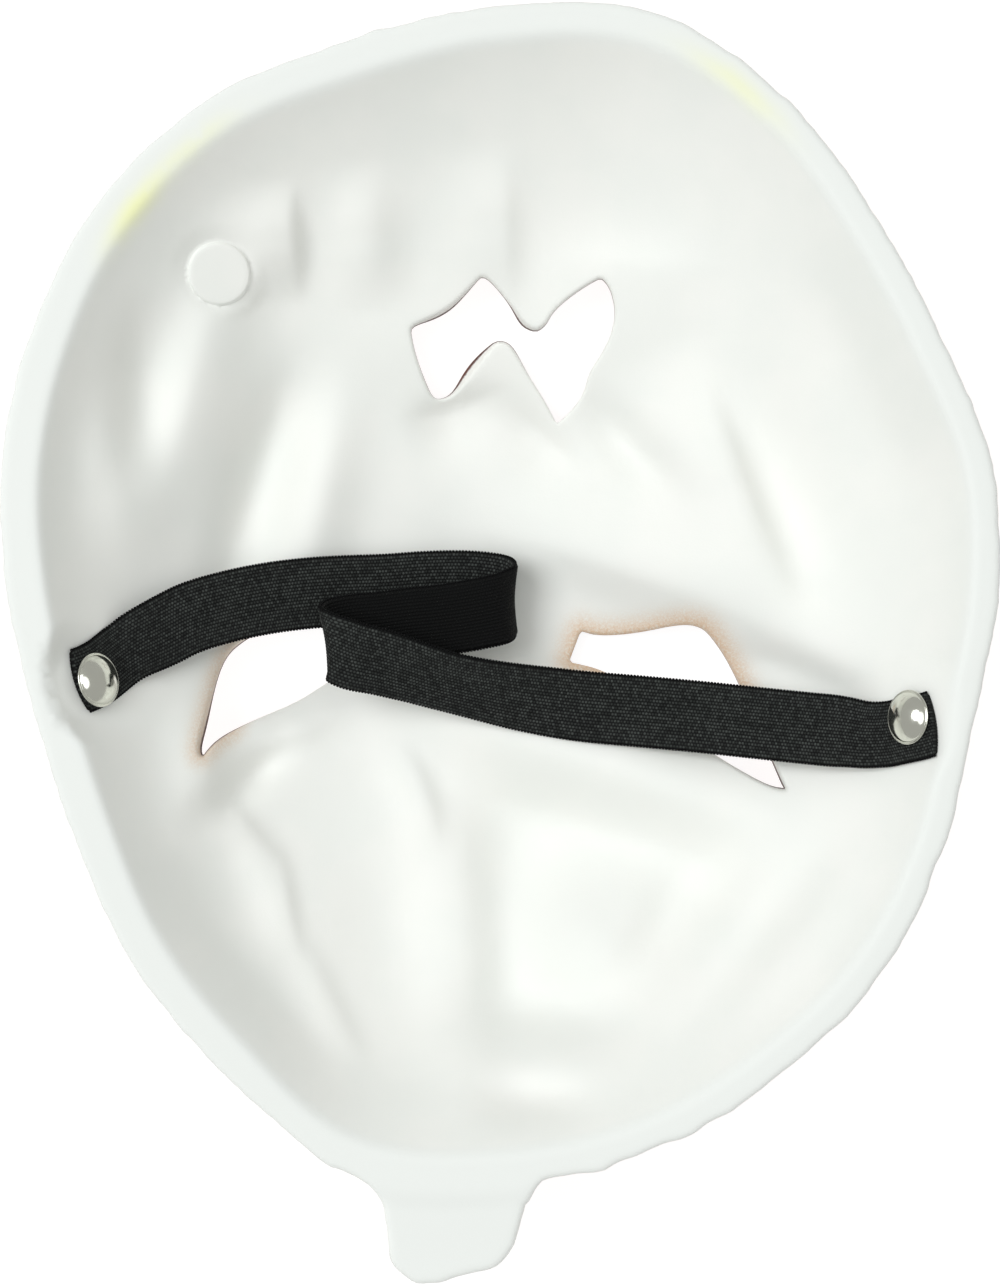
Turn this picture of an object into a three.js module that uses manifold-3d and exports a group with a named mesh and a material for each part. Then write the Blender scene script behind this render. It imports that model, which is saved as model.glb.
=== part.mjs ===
// A soft-foam pumpkin mask lying on its face, hollow side up, with its elastic head strap folded inside.
// Millimetres. X runs across the mask, Y from the forehead and stem (-) to the chin (+), Z up from the table.
import * as THREE from 'three';
import { mergeVertices } from 'three/addons/utils/BufferGeometryUtils.js';
import Module from 'manifold-3d';

const wasm = await Module();
wasm.setup();

// The foam casting: a bowl with a flat cut rim
const SHELL = {
  middle: [0, 9.7], // the point that the outline is measured from
  // outer radius of the rim every 15 degrees, anticlockwise from +X: sides, chin, sides, forehead
  outline: [
    109.4, 112.3, 112.9, 118.0, 127.1, 134.0, 131.2, 127.8,
    127.8, 124.6, 118.9, 113.5, 108.1, 105.4, 107.5, 114.0,
    121.2, 131.0, 129.6, 126.6, 121.8, 117.9, 112.4, 107.7,
  ],
  rimWidth: 7.3,
  rimWidthSway: 1.3, // the rim is this much wider at the left cheek, narrower at the right
  rimRounding: 1.4,
  rimHeight: 53,
  rimSway: 2.5, // the rim stands this much higher at the temples, and lower at chin and forehead
  foreheadDrop: 1,
  floorHeight: 5.5, // inner surface at the middle of the bowl
  floorShift: [-4, 2], // the middle of the bowl, from the middle of the outline
  wall: 5, // foam thickness at the middle of the face
  dishRise: 26, // how far the broad dish of the face rises to the rim
  wallPower: 5.5, // how late and steep the side walls rise
  chinEase: 1, // the chin wall is rounder than the side walls by this power
  foreheadEase: 0.5,
  foldFade: 0.12, // folds die away over this share of the radius below the rim
};

// Folds of the face, seen from the hollow side. Each runs from one point to another with a sideways bow at
// mid length; rise is towards the wearer, and left and right are its half widths on each side of travel.
const FOLDS = [
  { name: 'chin fold outer', from: [-48.5, 104.5], to: [-47, 76.5], bow: 0, rise: 5, left: 3, right: 11 },
  { name: 'chin fold middle', from: [-31, 109], to: [-28, 74], bow: 0, rise: 4, left: 7, right: 8 },
  { name: 'chin fold inner', from: [-1, 113.5], to: [0.5, 74], bow: 0, rise: 3.2, left: 5, right: 12 },
  { name: 'upper lip', from: [4.5, 84], to: [55.5, 80.5], bow: 0, rise: 3, left: 9, right: 20 },
  { name: 'lip', from: [-72, 62], to: [58.5, 66], bow: 5, rise: 3, left: 16, right: 14 },
  { name: 'lip crease left', from: [-23.5, 48.5], to: [5.5, 57.5], bow: 0, rise: -4.5, left: 4, right: 9 },
  { name: 'lip crease middle', from: [-3.5, 58], to: [21, 35.5], bow: 0, rise: -4, left: 4, right: 8 },
  { name: 'lip crease right', from: [15, 60.5], to: [45, 28], bow: 0, rise: -5, left: 5, right: 6 },
  { name: 'temple bulge', from: [-87.5, 62], to: [-81, 9], bow: 0, rise: 4.5, left: 10, right: 8 },
  { name: 'temple hollow', from: [-80, 82], to: [-81.5, 32.5], bow: 0, rise: -4.5, left: 6, right: 5 },
  { name: 'cheek crest', from: [-56.5, 100], to: [-78, 19], bow: 0, rise: 5.5, left: 9, right: 7.5 },
  { name: 'cheek hollow', from: [-41.5, 72], to: [-64.5, 1], bow: -2, rise: -8, left: 9, right: 6.5 },
  { name: 'nose side', from: [-35.5, 68.5], to: [-47.5, -1.5], bow: 0, rise: 4.5, left: 8, right: 9 },
  { name: 'nose', from: [-7, 50.5], to: [-8, -10.5], bow: 0, rise: -2.5, left: 20, right: 12 },
  { name: 'cheekbone', from: [-29.5, 32.5], to: [97, -14], bow: 7, rise: 6, left: 12, right: 8 },
  { name: 'smile line', from: [38.5, 69.5], to: [66.5, -2.5], bow: 0, rise: 9, left: 7.5, right: 20 },
  { name: 'smile crease', from: [46, 67.5], to: [78, 1], bow: 0, rise: -3.5, left: 12, right: 8 },
  { name: 'cheek end crease', from: [49.5, 0], to: [91.5, -17.5], bow: 0, rise: -4.5, left: 5, right: 6 },
  { name: 'far cheek crease', from: [65.5, 100], to: [96, 19], bow: 0, rise: -2.5, left: 10, right: 10 },
  { name: 'right eye socket', from: [-9, 5.5], to: [74, -35], bow: 5, rise: -2, left: 13, right: 13 },
  { name: 'left eye socket', from: [-9, 8], to: [-69.5, -33], bow: -7, rise: -6, left: 13, right: 13 },
  { name: 'brow', from: [-50.5, -1.5], to: [85.5, -45.5], bow: 0, rise: 14, left: 13, right: 12 },
  { name: 'brow crease', from: [-29.5, -31], to: [70, -59], bow: 0, rise: -5, left: 9, right: 16 },
  { name: 'left brow', from: [-72, -30.5], to: [-26, -9], bow: 0, rise: 4.5, left: 8, right: 5 },
  { name: 'eye corner crease', from: [-71, -44], to: [-45, -19], bow: 0, rise: -5, left: 4.5, right: 4.5 },
  { name: 'temple crest', from: [-68.5, 1], to: [-65, -53], bow: 0, rise: 4, left: 5, right: 8 },
  { name: 'leaf', from: [-65, -33], to: [-47, -54.5], bow: 0, rise: 2.4, left: 2.8, right: 6 },
  { name: 'leaf middle', from: [-51.5, -43], to: [-45.5, -74.5], bow: 0, rise: 2.4, left: 2.6, right: 7 },
  { name: 'leaf tail', from: [-48.5, -61], to: [-28, -100.5], bow: 0, rise: 1.8, left: 2.8, right: 5 },
  { name: 'leaf hollow', from: [-73.5, -33], to: [-28, -107.5], bow: -2, rise: -4, left: 12, right: 13 },
  { name: 'brow hook', from: [-27.5, -18.5], to: [-14.5, -50], bow: 3, rise: 3, left: 3.5, right: 6 },
  { name: 'forehead middle', from: [-13.5, -16], to: [-7.5, -99.5], bow: 1, rise: 5, left: 9, right: 13 },
  { name: 'forehead hollow', from: [-22.5, -35], to: [-7, -112], bow: 0, rise: -6, left: 26, right: 24 },
  { name: 'forehead groove 1', from: [1.5, -28.5], to: [3.5, -114], bow: 0, rise: -4, left: 10, right: 9 },
  { name: 'forehead bump', from: [39.5, -41], to: [12.5, -83], bow: 0, rise: 4.5, left: 9, right: 18 },
  { name: 'forehead groove 2', from: [61, -36.5], to: [25, -87], bow: 0, rise: -5, left: 8, right: 10 },
  { name: 'forehead rib 2', from: [72, -35], to: [31.5, -91.5], bow: 0, rise: 3.5, left: 6.5, right: 10 },
  { name: 'forehead groove 3', from: [78, -37.5], to: [34.5, -95], bow: 0, rise: -3.5, left: 6, right: 6 },
  { name: 'forehead rib 3', from: [89, -37.5], to: [44.5, -95], bow: 0, rise: 3, left: 9, right: 8 },
  { name: 'foot hollow', from: [-17, -81], to: [40.5, -83.5], bow: 0, rise: -5, left: 9, right: 7 },
  { name: 'foot ridge', from: [-22.5, -95], to: [31.5, -94.5], bow: 0, rise: 2, left: 7, right: 8 },
  { name: 'foot notch', from: [-10, -103], to: [28, -104], bow: 0, rise: -5.5, left: 6, right: 5 },
];
const FOLD_TAPER = 0.45; // share of a fold's length over which each end dies away

// Openings cut through the face, as closed outlines
const MOUTH = [
  [-20.4, 73], [-15.4, 75.1], [-7.5, 81.2], [-3.9, 84.6], [-1.8, 83.2], [4.5, 75.5], [9.1, 72.1],
  [17, 79.8], [23.4, 83.9], [25.2, 82.3], [26.3, 76.2], [22.7, 66], [20, 62.1], [18.8, 57.6],
  [12.9, 51], [11.1, 55.1], [2.3, 68.5], [0.2, 69.6], [-1.8, 68.3], [-10.7, 57.4], [-14.1, 56.2],
  [-17.5, 60.3], [-20, 70.1],
];
const RIGHT_EYE = [
  [15.8, -4.1], [18.5, 3], [22.2, 1.8], [30.8, 2.3], [41.3, 4.6], [45.7, 3.9], [48.2, 1.6], [53, -5.5],
  [61.9, -26.3], [64.9, -33.1], [60.5, -32.4], [48.2, -25.1], [36.5, -15.5], [25.1, -6.2],
];
const LEFT_EYE = [
  [-18.5, -0.2], [-27.4, 4.1], [-39.9, 5.2], [-53.9, 3.7], [-58.9, 0.9], [-63, -3.2], [-65.7, -13.5],
  [-68.2, -23.5], [-67.1, -25.8], [-63.5, -21.7], [-55.7, -17.1], [-45.9, -13.2], [-38.8, -8.2],
  [-29.2, -3.7],
];

// Round boss left by the mould on the inner chin wall, leaning less than the wall does
const BOSS = { at: [-62.8, 82.8, 33.1], slope: [-0.29, 0.28], radius: 6.9, rise: 1, depth: 3, edge: 0.6 };

// Stem: a half-round tab with a flat back, a little below the rim. Each station gives its place along Y,
// its left and right edges and its depth towards the front.
const STEM = {
  top: 48.9,
  ribs: 4, // rounded ribs along the front of the stem
  ribDepth: 1.2,
  lean: 0.55, // how far the root follows the slope of the forehead wall
  stations: [
    { y: -116, left: -33, right: 16, depth: 17 },
    { y: -119, left: -30, right: 9.8, depth: 17 },
    { y: -122, left: -26.9, right: 6.9, depth: 16 },
    { y: -125.5, left: -25.7, right: 5.1, depth: 15 },
    { y: -131, left: -25.1, right: 3.8, depth: 14 },
    { y: -136, left: -24.3, right: 1.1, depth: 12.8 },
    { y: -139.4, left: -21.9, right: -6.3, depth: 9.5 },
    { y: -141.9, left: -17, right: -14.5, depth: 4 },
  ],
};

// Cap rivets that clamp the strap's ends. The wall is flattened into a seat under each.
const RIVET = {
  brimRadius: 6.1,
  domeRadius: 5.6,
  domeHeight: 2.6,
  shankRadius: 1.6,
  clampedFoam: 5.2, // foam left between the strap and the outer cap
  outerRadius: 5,
  seatTilt: 48, // degrees between the seat and the table
  seatReach: 13, // the seat blends into the wall over this distance
};
// side is the way to the middle of the mask, and turn the degrees that the seat looks towards the chin.
// strapLine is the strap's middle line over the seat, as distances from the rivet along the seat and
// across it. The strap's cut end stands out by endBow at its middle.
const RIVETS = [
  {
    name: 'rivet_left',
    at: [-90.6, -8.3, 43.4],
    side: 1,
    turn: 12,
    strapLine: [[-4, 0.6], [-1.1, 1], [2.4, 1.8], [5.8, 3], [9.3, 4.3]],
    endBow: 1.6,
  },
  {
    name: 'rivet_right',
    at: [91.8, -16.3, 46.4],
    side: -1,
    turn: 4,
    strapLine: [[7.1, -4.1], [3.7, -3.4], [0.5, -2.7], [-3, -1.9], [-5.8, -1.1]],
    endBow: 1.2,
  },
];
const SEAT_FADE = { start: 10, end: 22 }; // the strap leaves the seat's direction between these distances
const STRAP_SEAT = { radius: 13.6, inset: 3, height: 4, flare: 6, sink: 0.05 };
const GAP = 0.3; // clearance between touching pieces
const HOLE_CLEARANCE = 0.3;

// Flat woven elastic. Between the seats its middle line runs from the left rivet down into the bowl, folds
// back twice and climbs to the right rivet; its width always stands nearly along Y.
const STRAP = {
  width: 16,
  thickness: 1.4,
  edge: 0.5, // the woven edges thin out over this width
  pinch: 0.09, // the rivets gather the band by this share
  twist: { middle: 191, reach: 26, angle: 36 }, // where the band turns about its own line, in degrees
  stepsPerPoint: 1.6, // route points stand closer in the folds, and so do the steps
  route: [
    [-80.6, 0.1, 35.6], [-75.5, 2.8, 32.2], [-69.4, 5.9, 28.9], [-61.7, 8.3, 25.3], [-53.6, 10.1, 22.1],
    [-45.3, 11.3, 19.1], [-36.4, 12, 16.3], [-26.2, 12.4, 14.1], [-15.9, 13.1, 12.9], [-5.8, 13.1, 12.5],
    [0.4, 12.1, 14.1], [2.7, 10.2, 18.1], [0.6, 8.2, 22.3], [-5.4, 6.7, 24.1], [-13.6, 5.4, 24.4],
    [-20.2, 4.7, 24.6], [-27, 3.8, 24.7], [-33.2, 3.2, 25.1], [-37, 2.3, 26.8], [-38.6, 0.8, 30.1],
    [-37, -0.8, 33.3], [-33.3, -2.5, 34.1], [-26.8, -4.1, 33.1], [-20.2, -6, 31.4], [-11.7, -8.5, 29.1],
    [2, -11.5, 25.9], [9, -12.7, 24.8], [18.3, -14, 24.1], [31.8, -15.2, 24.5], [45, -16.4, 26.5],
    [58.5, -17.8, 30], [69.5, -18.9, 33.9], [76.9, -19.6, 37.1], [81.7, -20.2, 39.3],
  ],
};

const MATERIALS = {
  foam: new THREE.MeshStandardMaterial({ color: 0xeeefea, roughness: 0.75, metalness: 0 }),
  elastic: new THREE.MeshStandardMaterial({ color: 0x1e2022, roughness: 0.9, metalness: 0 }),
  nickel: new THREE.MeshStandardMaterial({ color: 0xd2d2cb, roughness: 0.18, metalness: 1 }),
};

function smoothStep(value) {
  const t = Math.min(Math.max(value, 0), 1);
  return t * t * (3 - 2 * t);
}

// Solids and booleans

function toSolid(geometry) {
  const bare = geometry.clone();
  bare.deleteAttribute('normal');
  bare.deleteAttribute('uv');
  const merged = mergeVertices(bare, 1e-4);
  return new wasm.Manifold(new wasm.Mesh({
    numProp: 3,
    vertProperties: new Float32Array(merged.attributes.position.array),
    triVerts: new Uint32Array(merged.index.array),
  }));
}

function toGeometry(solid) {
  const mesh = solid.getMesh();
  const geometry = new THREE.BufferGeometry();
  geometry.setAttribute('position', new THREE.BufferAttribute(new Float32Array(mesh.vertProperties), 3));
  geometry.setIndex(new THREE.BufferAttribute(new Uint32Array(mesh.triVerts), 1));
  geometry.computeVertexNormals();
  return geometry;
}

// Closed skin over a stack of rings of equal length, with a cap at each end
function skinRings(rings) {
  const size = rings[0].length;
  const positions = rings.flat(2);
  const index = [];
  for (let row = 0; row < rings.length - 1; row += 1) {
    for (let k = 0; k < size; k += 1) {
      const a = row * size + k;
      const b = row * size + ((k + 1) % size);
      index.push(a, b, b + size, a, b + size, a + size);
    }
  }
  const last = (rings.length - 1) * size;
  for (let k = 1; k < size - 1; k += 1) {
    index.push(0, k + 1, k, last, last + k, last + k + 1);
  }
  const geometry = new THREE.BufferGeometry();
  geometry.setAttribute('position', new THREE.Float32BufferAttribute(positions, 3));
  geometry.setIndex(index);
  return geometry;
}

// Form of the bowl

function outlineRadius(angle) {
  const { outline } = SHELL;
  const count = outline.length;
  const place = (((angle / (2 * Math.PI)) % 1) + 1) * count;
  const whole = Math.floor(place);
  const t = place - whole;
  const [a, b, c, d] = [-1, 0, 1, 2].map((k) => outline[(whole + k + count) % count]);
  const bend = 2 * a - 5 * b + 4 * c - d;
  const sway = 3 * b - a - 3 * c + d;
  return 0.5 * (2 * b + (c - a) * t + bend * t * t + sway * t * t * t);
}

function rimHeight(angle) {
  const drop = SHELL.foreheadDrop * Math.max(-Math.sin(angle), 0);
  return SHELL.rimHeight + SHELL.rimSway * Math.cos(2 * angle) - drop;
}

function rimWidth(angle) {
  return SHELL.rimWidth - SHELL.rimWidthSway * Math.cos(angle);
}

function bowlHeight(share, angle, floor) {
  const sine = Math.sin(angle);
  const ease = sine > 0 ? SHELL.chinEase : SHELL.foreheadEase;
  const power = SHELL.wallPower - ease * sine * sine;
  const wallRise = rimHeight(angle) - floor - SHELL.dishRise;
  return floor + SHELL.dishRise * share * share + wallRise * share ** power;
}

function foldRise(x, y) {
  let rise = 0;
  for (const fold of FOLDS) {
    const dx = fold.to[0] - fold.from[0];
    const dy = fold.to[1] - fold.from[1];
    const length = Math.hypot(dx, dy);
    const px = x - fold.from[0];
    const py = y - fold.from[1];
    const along = (px * dx + py * dy) / (length * length);
    const across = (dx * py - dy * px) / length - 4 * along * (1 - along) * fold.bow;
    const blend = smoothStep(0.5 + (2 * across) / (fold.left + fold.right));
    const width = fold.right + (fold.left - fold.right) * blend;
    const ends = smoothStep(Math.min(along, 1 - along) / FOLD_TAPER);
    rise += fold.rise * ends * Math.exp(-((across / width) ** 2));
  }
  return rise;
}

// Height to add so that the wall turns into a rivet's flat seat
function seatRise(x, y, height) {
  const slope = Math.tan(THREE.MathUtils.degToRad(RIVET.seatTilt));
  let rise = 0;
  for (const rivet of RIVETS) {
    const dx = x - rivet.at[0];
    const dy = y - rivet.at[1];
    const turn = THREE.MathUtils.degToRad(rivet.turn);
    const inward = rivet.side * Math.cos(turn) * dx + Math.sin(turn) * dy;
    const weight = smoothStep((RIVET.seatReach - Math.hypot(dx, dy)) / (0.5 * RIVET.seatReach));
    rise += weight * (rivet.at[2] - slope * inward - height);
  }
  return rise;
}

// A point of the inner or outer surface, share 0 at the middle to 1 at the rim
function bowlPoint(share, angle, inner, floor) {
  const radius = (outlineRadius(angle) - (inner ? rimWidth(angle) : 0)) * share;
  const x = SHELL.middle[0] + (1 - share) * SHELL.floorShift[0] + radius * Math.cos(angle);
  const y = SHELL.middle[1] + (1 - share) * SHELL.floorShift[1] + radius * Math.sin(angle);
  const smooth = bowlHeight(share, angle, floor);
  const folded = smooth + smoothStep((1 - share) / SHELL.foldFade) * foldRise(x, y);
  const seated = inner ? folded + seatRise(x, y, folded) : folded;
  return [x, y, Math.max(seated, 0)];
}

function buildBowl() {
  const sectors = 73;
  const rows = 18;
  const crowding = 0.8; // rows stand closer together towards the rim
  const innerFloor = SHELL.floorHeight;
  const outerFloor = SHELL.floorHeight - SHELL.wall;
  const round = SHELL.rimRounding;
  const rings = [];
  for (let row = 1; row <= 2 * rows + 2; row += 1) {
    const ring = [];
    for (let k = 0; k < sectors; k += 1) {
      const angle = (2 * Math.PI * k) / sectors;
      const outward = [Math.cos(angle), Math.sin(angle)];
      let point;
      if (row <= rows) {
        point = bowlPoint((row / rows) ** crowding, angle, true, innerFloor);
        if (row === rows) point[2] -= round;
      } else if (row <= rows + 2) {
        const radius = outlineRadius(angle) - (row === rows + 1 ? rimWidth(angle) - round : round);
        const top = rimHeight(angle);
        point = [SHELL.middle[0] + radius * outward[0], SHELL.middle[1] + radius * outward[1], top];
      } else {
        point = bowlPoint(((2 * rows + 3 - row) / rows) ** crowding, angle, false, outerFloor);
        if (row === rows + 3) point[2] -= round;
      }
      ring.push(point);
    }
    rings.push(ring);
  }
  return skinBowl(rings, innerFloor, outerFloor);
}

// Rings run from the inner middle over the rim to the outer middle; a fan closes each end
function skinBowl(rings, innerFloor, outerFloor) {
  const size = rings[0].length;
  const positions = rings.flat(2);
  const index = [];
  for (let row = 0; row < rings.length - 1; row += 1) {
    for (let k = 0; k < size; k += 1) {
      const a = row * size + k;
      const b = row * size + ((k + 1) % size);
      index.push(a, a + size, b, b, a + size, b + size);
    }
  }
  const innerPole = rings.length * size;
  const outerPole = innerPole + 1;
  positions.push(...bowlPoint(0, 0, true, innerFloor), ...bowlPoint(0, 0, false, outerFloor));
  const last = (rings.length - 1) * size;
  for (let k = 0; k < size; k += 1) {
    const next = (k + 1) % size;
    index.push(innerPole, k, next, outerPole, last + next, last + k);
  }
  const geometry = new THREE.BufferGeometry();
  geometry.setAttribute('position', new THREE.Float32BufferAttribute(positions, 3));
  geometry.setIndex(index);
  return geometry;
}

function buildOpening(outline) {
  const height = 80;
  const shape = new THREE.Shape(outline.map(([x, y]) => new THREE.Vector2(x, y)));
  const geometry = new THREE.ExtrudeGeometry(shape, { depth: height, bevelEnabled: false });
  return geometry.translate(0, 0, -height / 4);
}

function buildBoss() {
  const { at, slope, radius, rise, depth, edge } = BOSS;
  const profile = [[0, -depth], [radius, -depth], [radius, rise - edge], [radius - edge, rise], [0, rise]];
  const upright = new THREE.Vector3(-slope[0], -slope[1], 1).normalize();
  const lean = new THREE.Quaternion().setFromUnitVectors(new THREE.Vector3(0, 0, 1), upright);
  return lathe(profile, 24).applyQuaternion(lean).translate(...at);
}

function buildStem() {
  const arcSteps = 14;
  const rings = STEM.stations.map(({ y, left, right, depth }, place) => {
    const middle = (left + right) / 2;
    const half = (right - left) / 2;
    const lean = STEM.lean * (1 - place / (STEM.stations.length - 1)) ** 2;
    const ring = [];
    for (let k = 0; k <= arcSteps; k += 1) {
      const turn = (Math.PI * k) / arcSteps;
      const rib = STEM.ribDepth * Math.cos(2 * STEM.ribs * turn) * Math.sin(turn);
      const down = (depth + rib) * Math.sin(turn);
      ring.push([middle - half * Math.cos(turn), y + lean * down, STEM.top - down]);
    }
    return ring;
  });
  return skinRings(rings);
}

// Local frame of a rivet: side runs along the seat towards the middle of the mask, up stands on the seat
function seatMatrix(rivet) {
  const turn = THREE.MathUtils.degToRad(rivet.turn) * rivet.side;
  const tilt = THREE.MathUtils.degToRad(RIVET.seatTilt) * rivet.side;
  const matrix = new THREE.Matrix4().makeRotationZ(turn).multiply(new THREE.Matrix4().makeRotationY(tilt));
  return matrix.setPosition(...rivet.at);
}

function lathe(profile, segments) {
  const geometry = new THREE.LatheGeometry(profile.map(([r, h]) => new THREE.Vector2(r, h)), segments);
  return geometry.rotateX(Math.PI / 2);
}

function buildRivet() {
  const { brimRadius, domeRadius, domeHeight, shankRadius, clampedFoam, outerRadius } = RIVET;
  const brimBase = STRAP.thickness + 2 * GAP;
  const brimTop = brimBase + 0.5;
  const outerTop = -clampedFoam - GAP;
  const profile = [
    [0, outerTop - 1.6],
    [0.7 * outerRadius, outerTop - 1.3],
    [outerRadius, outerTop - 0.5],
    [outerRadius, outerTop],
    [shankRadius, outerTop],
    [shankRadius, brimBase],
    [brimRadius, brimBase],
    [brimRadius, brimTop],
    [domeRadius, brimTop],
    [0.9 * domeRadius, brimTop + 0.31 * domeHeight],
    [0.6 * domeRadius, brimTop + 0.73 * domeHeight],
    [0.3 * domeRadius, brimTop + 0.94 * domeHeight],
    [0, brimTop + domeHeight],
  ];
  return lathe(profile, 18);
}

// Hole for a rivet's shank, opening into a wider pocket where the outer cap sinks into the foam
function buildRivetHole() {
  const shank = RIVET.shankRadius + HOLE_CLEARANCE;
  const pocket = RIVET.outerRadius + HOLE_CLEARANCE;
  const pocketTop = -RIVET.clampedFoam;
  const [bottom, top] = [-20, 10]; // well clear of the foam on both sides
  const profile = [
    [0, bottom], [pocket, bottom], [pocket, pocketTop], [shank, pocketTop], [shank, top], [0, top],
  ];
  return lathe(profile, 22);
}

function strapCurve() {
  const height = GAP + STRAP.thickness / 2;
  const [start, end] = RIVETS.map((rivet) => rivet.strapLine.map(([along, across]) => (
    new THREE.Vector3(rivet.side * along, across, height).applyMatrix4(seatMatrix(rivet))
  )));
  const free = STRAP.route.map((point) => new THREE.Vector3(...point));
  return new THREE.CatmullRomCurve3([...start, ...free, ...end], false, 'centripetal');
}

// 1 on a rivet's seat, 0 well away from it
function nearSeat(point, rivet) {
  const { start, end } = SEAT_FADE;
  return smoothStep((end - point.distanceTo(new THREE.Vector3(...rivet.at))) / (end - start));
}

// Direction of the band's width: flat on the seats, elsewhere near Y but for the twist
function strapAcross(point, along, gone) {
  const { middle, reach, angle } = STRAP.twist;
  const across = new THREE.Vector3(0, 1, 0).addScaledVector(along, -along.y);
  for (const rivet of RIVETS) {
    const up = new THREE.Vector3(0, 0, 1).transformDirection(seatMatrix(rivet));
    across.normalize().lerp(up.cross(along), nearSeat(point, rivet));
  }
  const turn = THREE.MathUtils.degToRad(angle) * Math.exp(-(((gone - middle) / reach) ** 2));
  return across.normalize().applyAxisAngle(along, turn);
}

// Sweep of the band's section along its route
function buildStrap() {
  const curve = strapCurve();
  const halfWidth = STRAP.width / 2;
  const halfThickness = STRAP.thickness / 2;
  const inner = halfWidth - STRAP.edge;
  const section = [
    [-halfWidth, 0], [-inner, -halfThickness], [0, -halfThickness], [inner, -halfThickness],
    [halfWidth, 0], [inner, halfThickness], [0, halfThickness], [-inner, halfThickness],
  ];
  const rings = [];
  const steps = Math.round(STRAP.stepsPerPoint * (curve.points.length - 1));
  const middles = Array.from({ length: steps + 1 }, (_, step) => curve.getPoint(step / steps));
  const lengths = [0];
  for (let step = 1; step <= steps; step += 1) {
    lengths.push(lengths[step - 1] + middles[step].distanceTo(middles[step - 1]));
  }
  const endReach = 5; // the bow of a cut end dies away over this length
  for (let step = 0; step <= steps; step += 1) {
    const middle = middles[step];
    const gone = lengths[step];
    const along = curve.getTangent(step / steps);
    const across = strapAcross(middle, along, gone);
    const normal = new THREE.Vector3().crossVectors(along, across);
    const pinch = 1 - STRAP.pinch * Math.max(...RIVETS.map((rivet) => nearSeat(middle, rivet)));
    const bow = RIVETS[1].endBow * Math.max(1 - (lengths[steps] - gone) / endReach, 0)
      - RIVETS[0].endBow * Math.max(1 - gone / endReach, 0);
    rings.push(section.map(([w, h]) => middle.clone()
      .addScaledVector(across, w * pinch)
      .addScaledVector(normal, h)
      .addScaledVector(along, bow * (1 - (w / halfWidth) ** 2))
      .toArray()));
  }
  return skinRings(rings);
}

// Shallow round dish that the end of the strap presses into the foam
function buildStrapSeat(rivet) {
  const { radius, inset, height, flare, sink } = STRAP_SEAT;
  const middle = rivet.strapLine.reduce((sum, [, across]) => sum + across, 0) / rivet.strapLine.length;
  const dish = lathe([[0, -sink], [radius, -sink], [radius + flare, height], [0, height]], 28);
  return dish.translate(rivet.side * inset, middle, 0);
}

function addPiece(group, name, geometry, material) {
  const mesh = new THREE.Mesh(geometry, material);
  mesh.name = name;
  group.add(mesh);
}

// Assembly

const mask = new THREE.Group();
let foam = toSolid(buildBowl()).add(toSolid(buildStem())).add(toSolid(buildBoss()));
let strap = toSolid(buildStrap());
for (const outline of [MOUTH, RIGHT_EYE, LEFT_EYE]) {
  foam = foam.subtract(toSolid(buildOpening(outline)));
}
for (const rivet of RIVETS) {
  const place = seatMatrix(rivet);
  const hole = toSolid(buildRivetHole().applyMatrix4(place));
  const strapSeat = toSolid(buildStrapSeat(rivet).applyMatrix4(place));
  foam = foam.subtract(strapSeat).subtract(hole);
  strap = strap.subtract(hole);
}
addPiece(mask, 'foam_shell', toGeometry(foam), MATERIALS.foam);
addPiece(mask, 'elastic_strap', toGeometry(strap), MATERIALS.elastic);
for (const rivet of RIVETS) {
  addPiece(mask, rivet.name, buildRivet().applyMatrix4(seatMatrix(rivet)), MATERIALS.nickel);
}

export default mask;
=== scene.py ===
# A soft-foam pumpkin mask lying on its face, hollow side up, with its elastic head strap folded inside.
# Metres. X runs across the mask, Y from the stem (-) to the chin (+), Z up from the floor.
import math

import bpy
import numpy as np
from mathutils import Matrix, Vector, geometry


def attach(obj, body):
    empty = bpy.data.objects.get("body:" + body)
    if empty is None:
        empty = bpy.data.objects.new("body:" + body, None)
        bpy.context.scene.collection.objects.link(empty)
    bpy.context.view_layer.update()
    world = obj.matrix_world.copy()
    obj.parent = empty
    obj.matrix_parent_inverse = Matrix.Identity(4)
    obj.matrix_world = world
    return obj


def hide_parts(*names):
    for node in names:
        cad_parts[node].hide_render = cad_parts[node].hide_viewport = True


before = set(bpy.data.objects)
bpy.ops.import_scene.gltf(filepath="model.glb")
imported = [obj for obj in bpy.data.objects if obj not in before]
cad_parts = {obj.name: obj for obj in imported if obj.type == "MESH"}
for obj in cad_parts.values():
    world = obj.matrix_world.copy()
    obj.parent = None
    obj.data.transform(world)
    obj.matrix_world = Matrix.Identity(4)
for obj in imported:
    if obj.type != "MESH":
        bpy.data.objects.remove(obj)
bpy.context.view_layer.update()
mm = 0.001

# Camera, floor and light

shot = {
    "height": 0.28336,  # what the picture spans from top to bottom, at the rim
    "rimPlane": 0.0535,  # height of the rim over the floor, where the picture is measured
    "distance": 1.2,  # from the rim to the camera
    "filmHeight": 36,
}


def makeCamera():
    data = bpy.data.cameras.new("camera")
    data.sensor_width = shot["filmHeight"]  # the long side of the picture
    data.lens = shot["filmHeight"] * shot["distance"] / shot["height"]
    camera = bpy.data.objects.new("camera", data)
    camera.location = (0, 0, shot["rimPlane"] + shot["distance"])
    bpy.context.collection.objects.link(camera)
    bpy.context.scene.camera = camera


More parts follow.
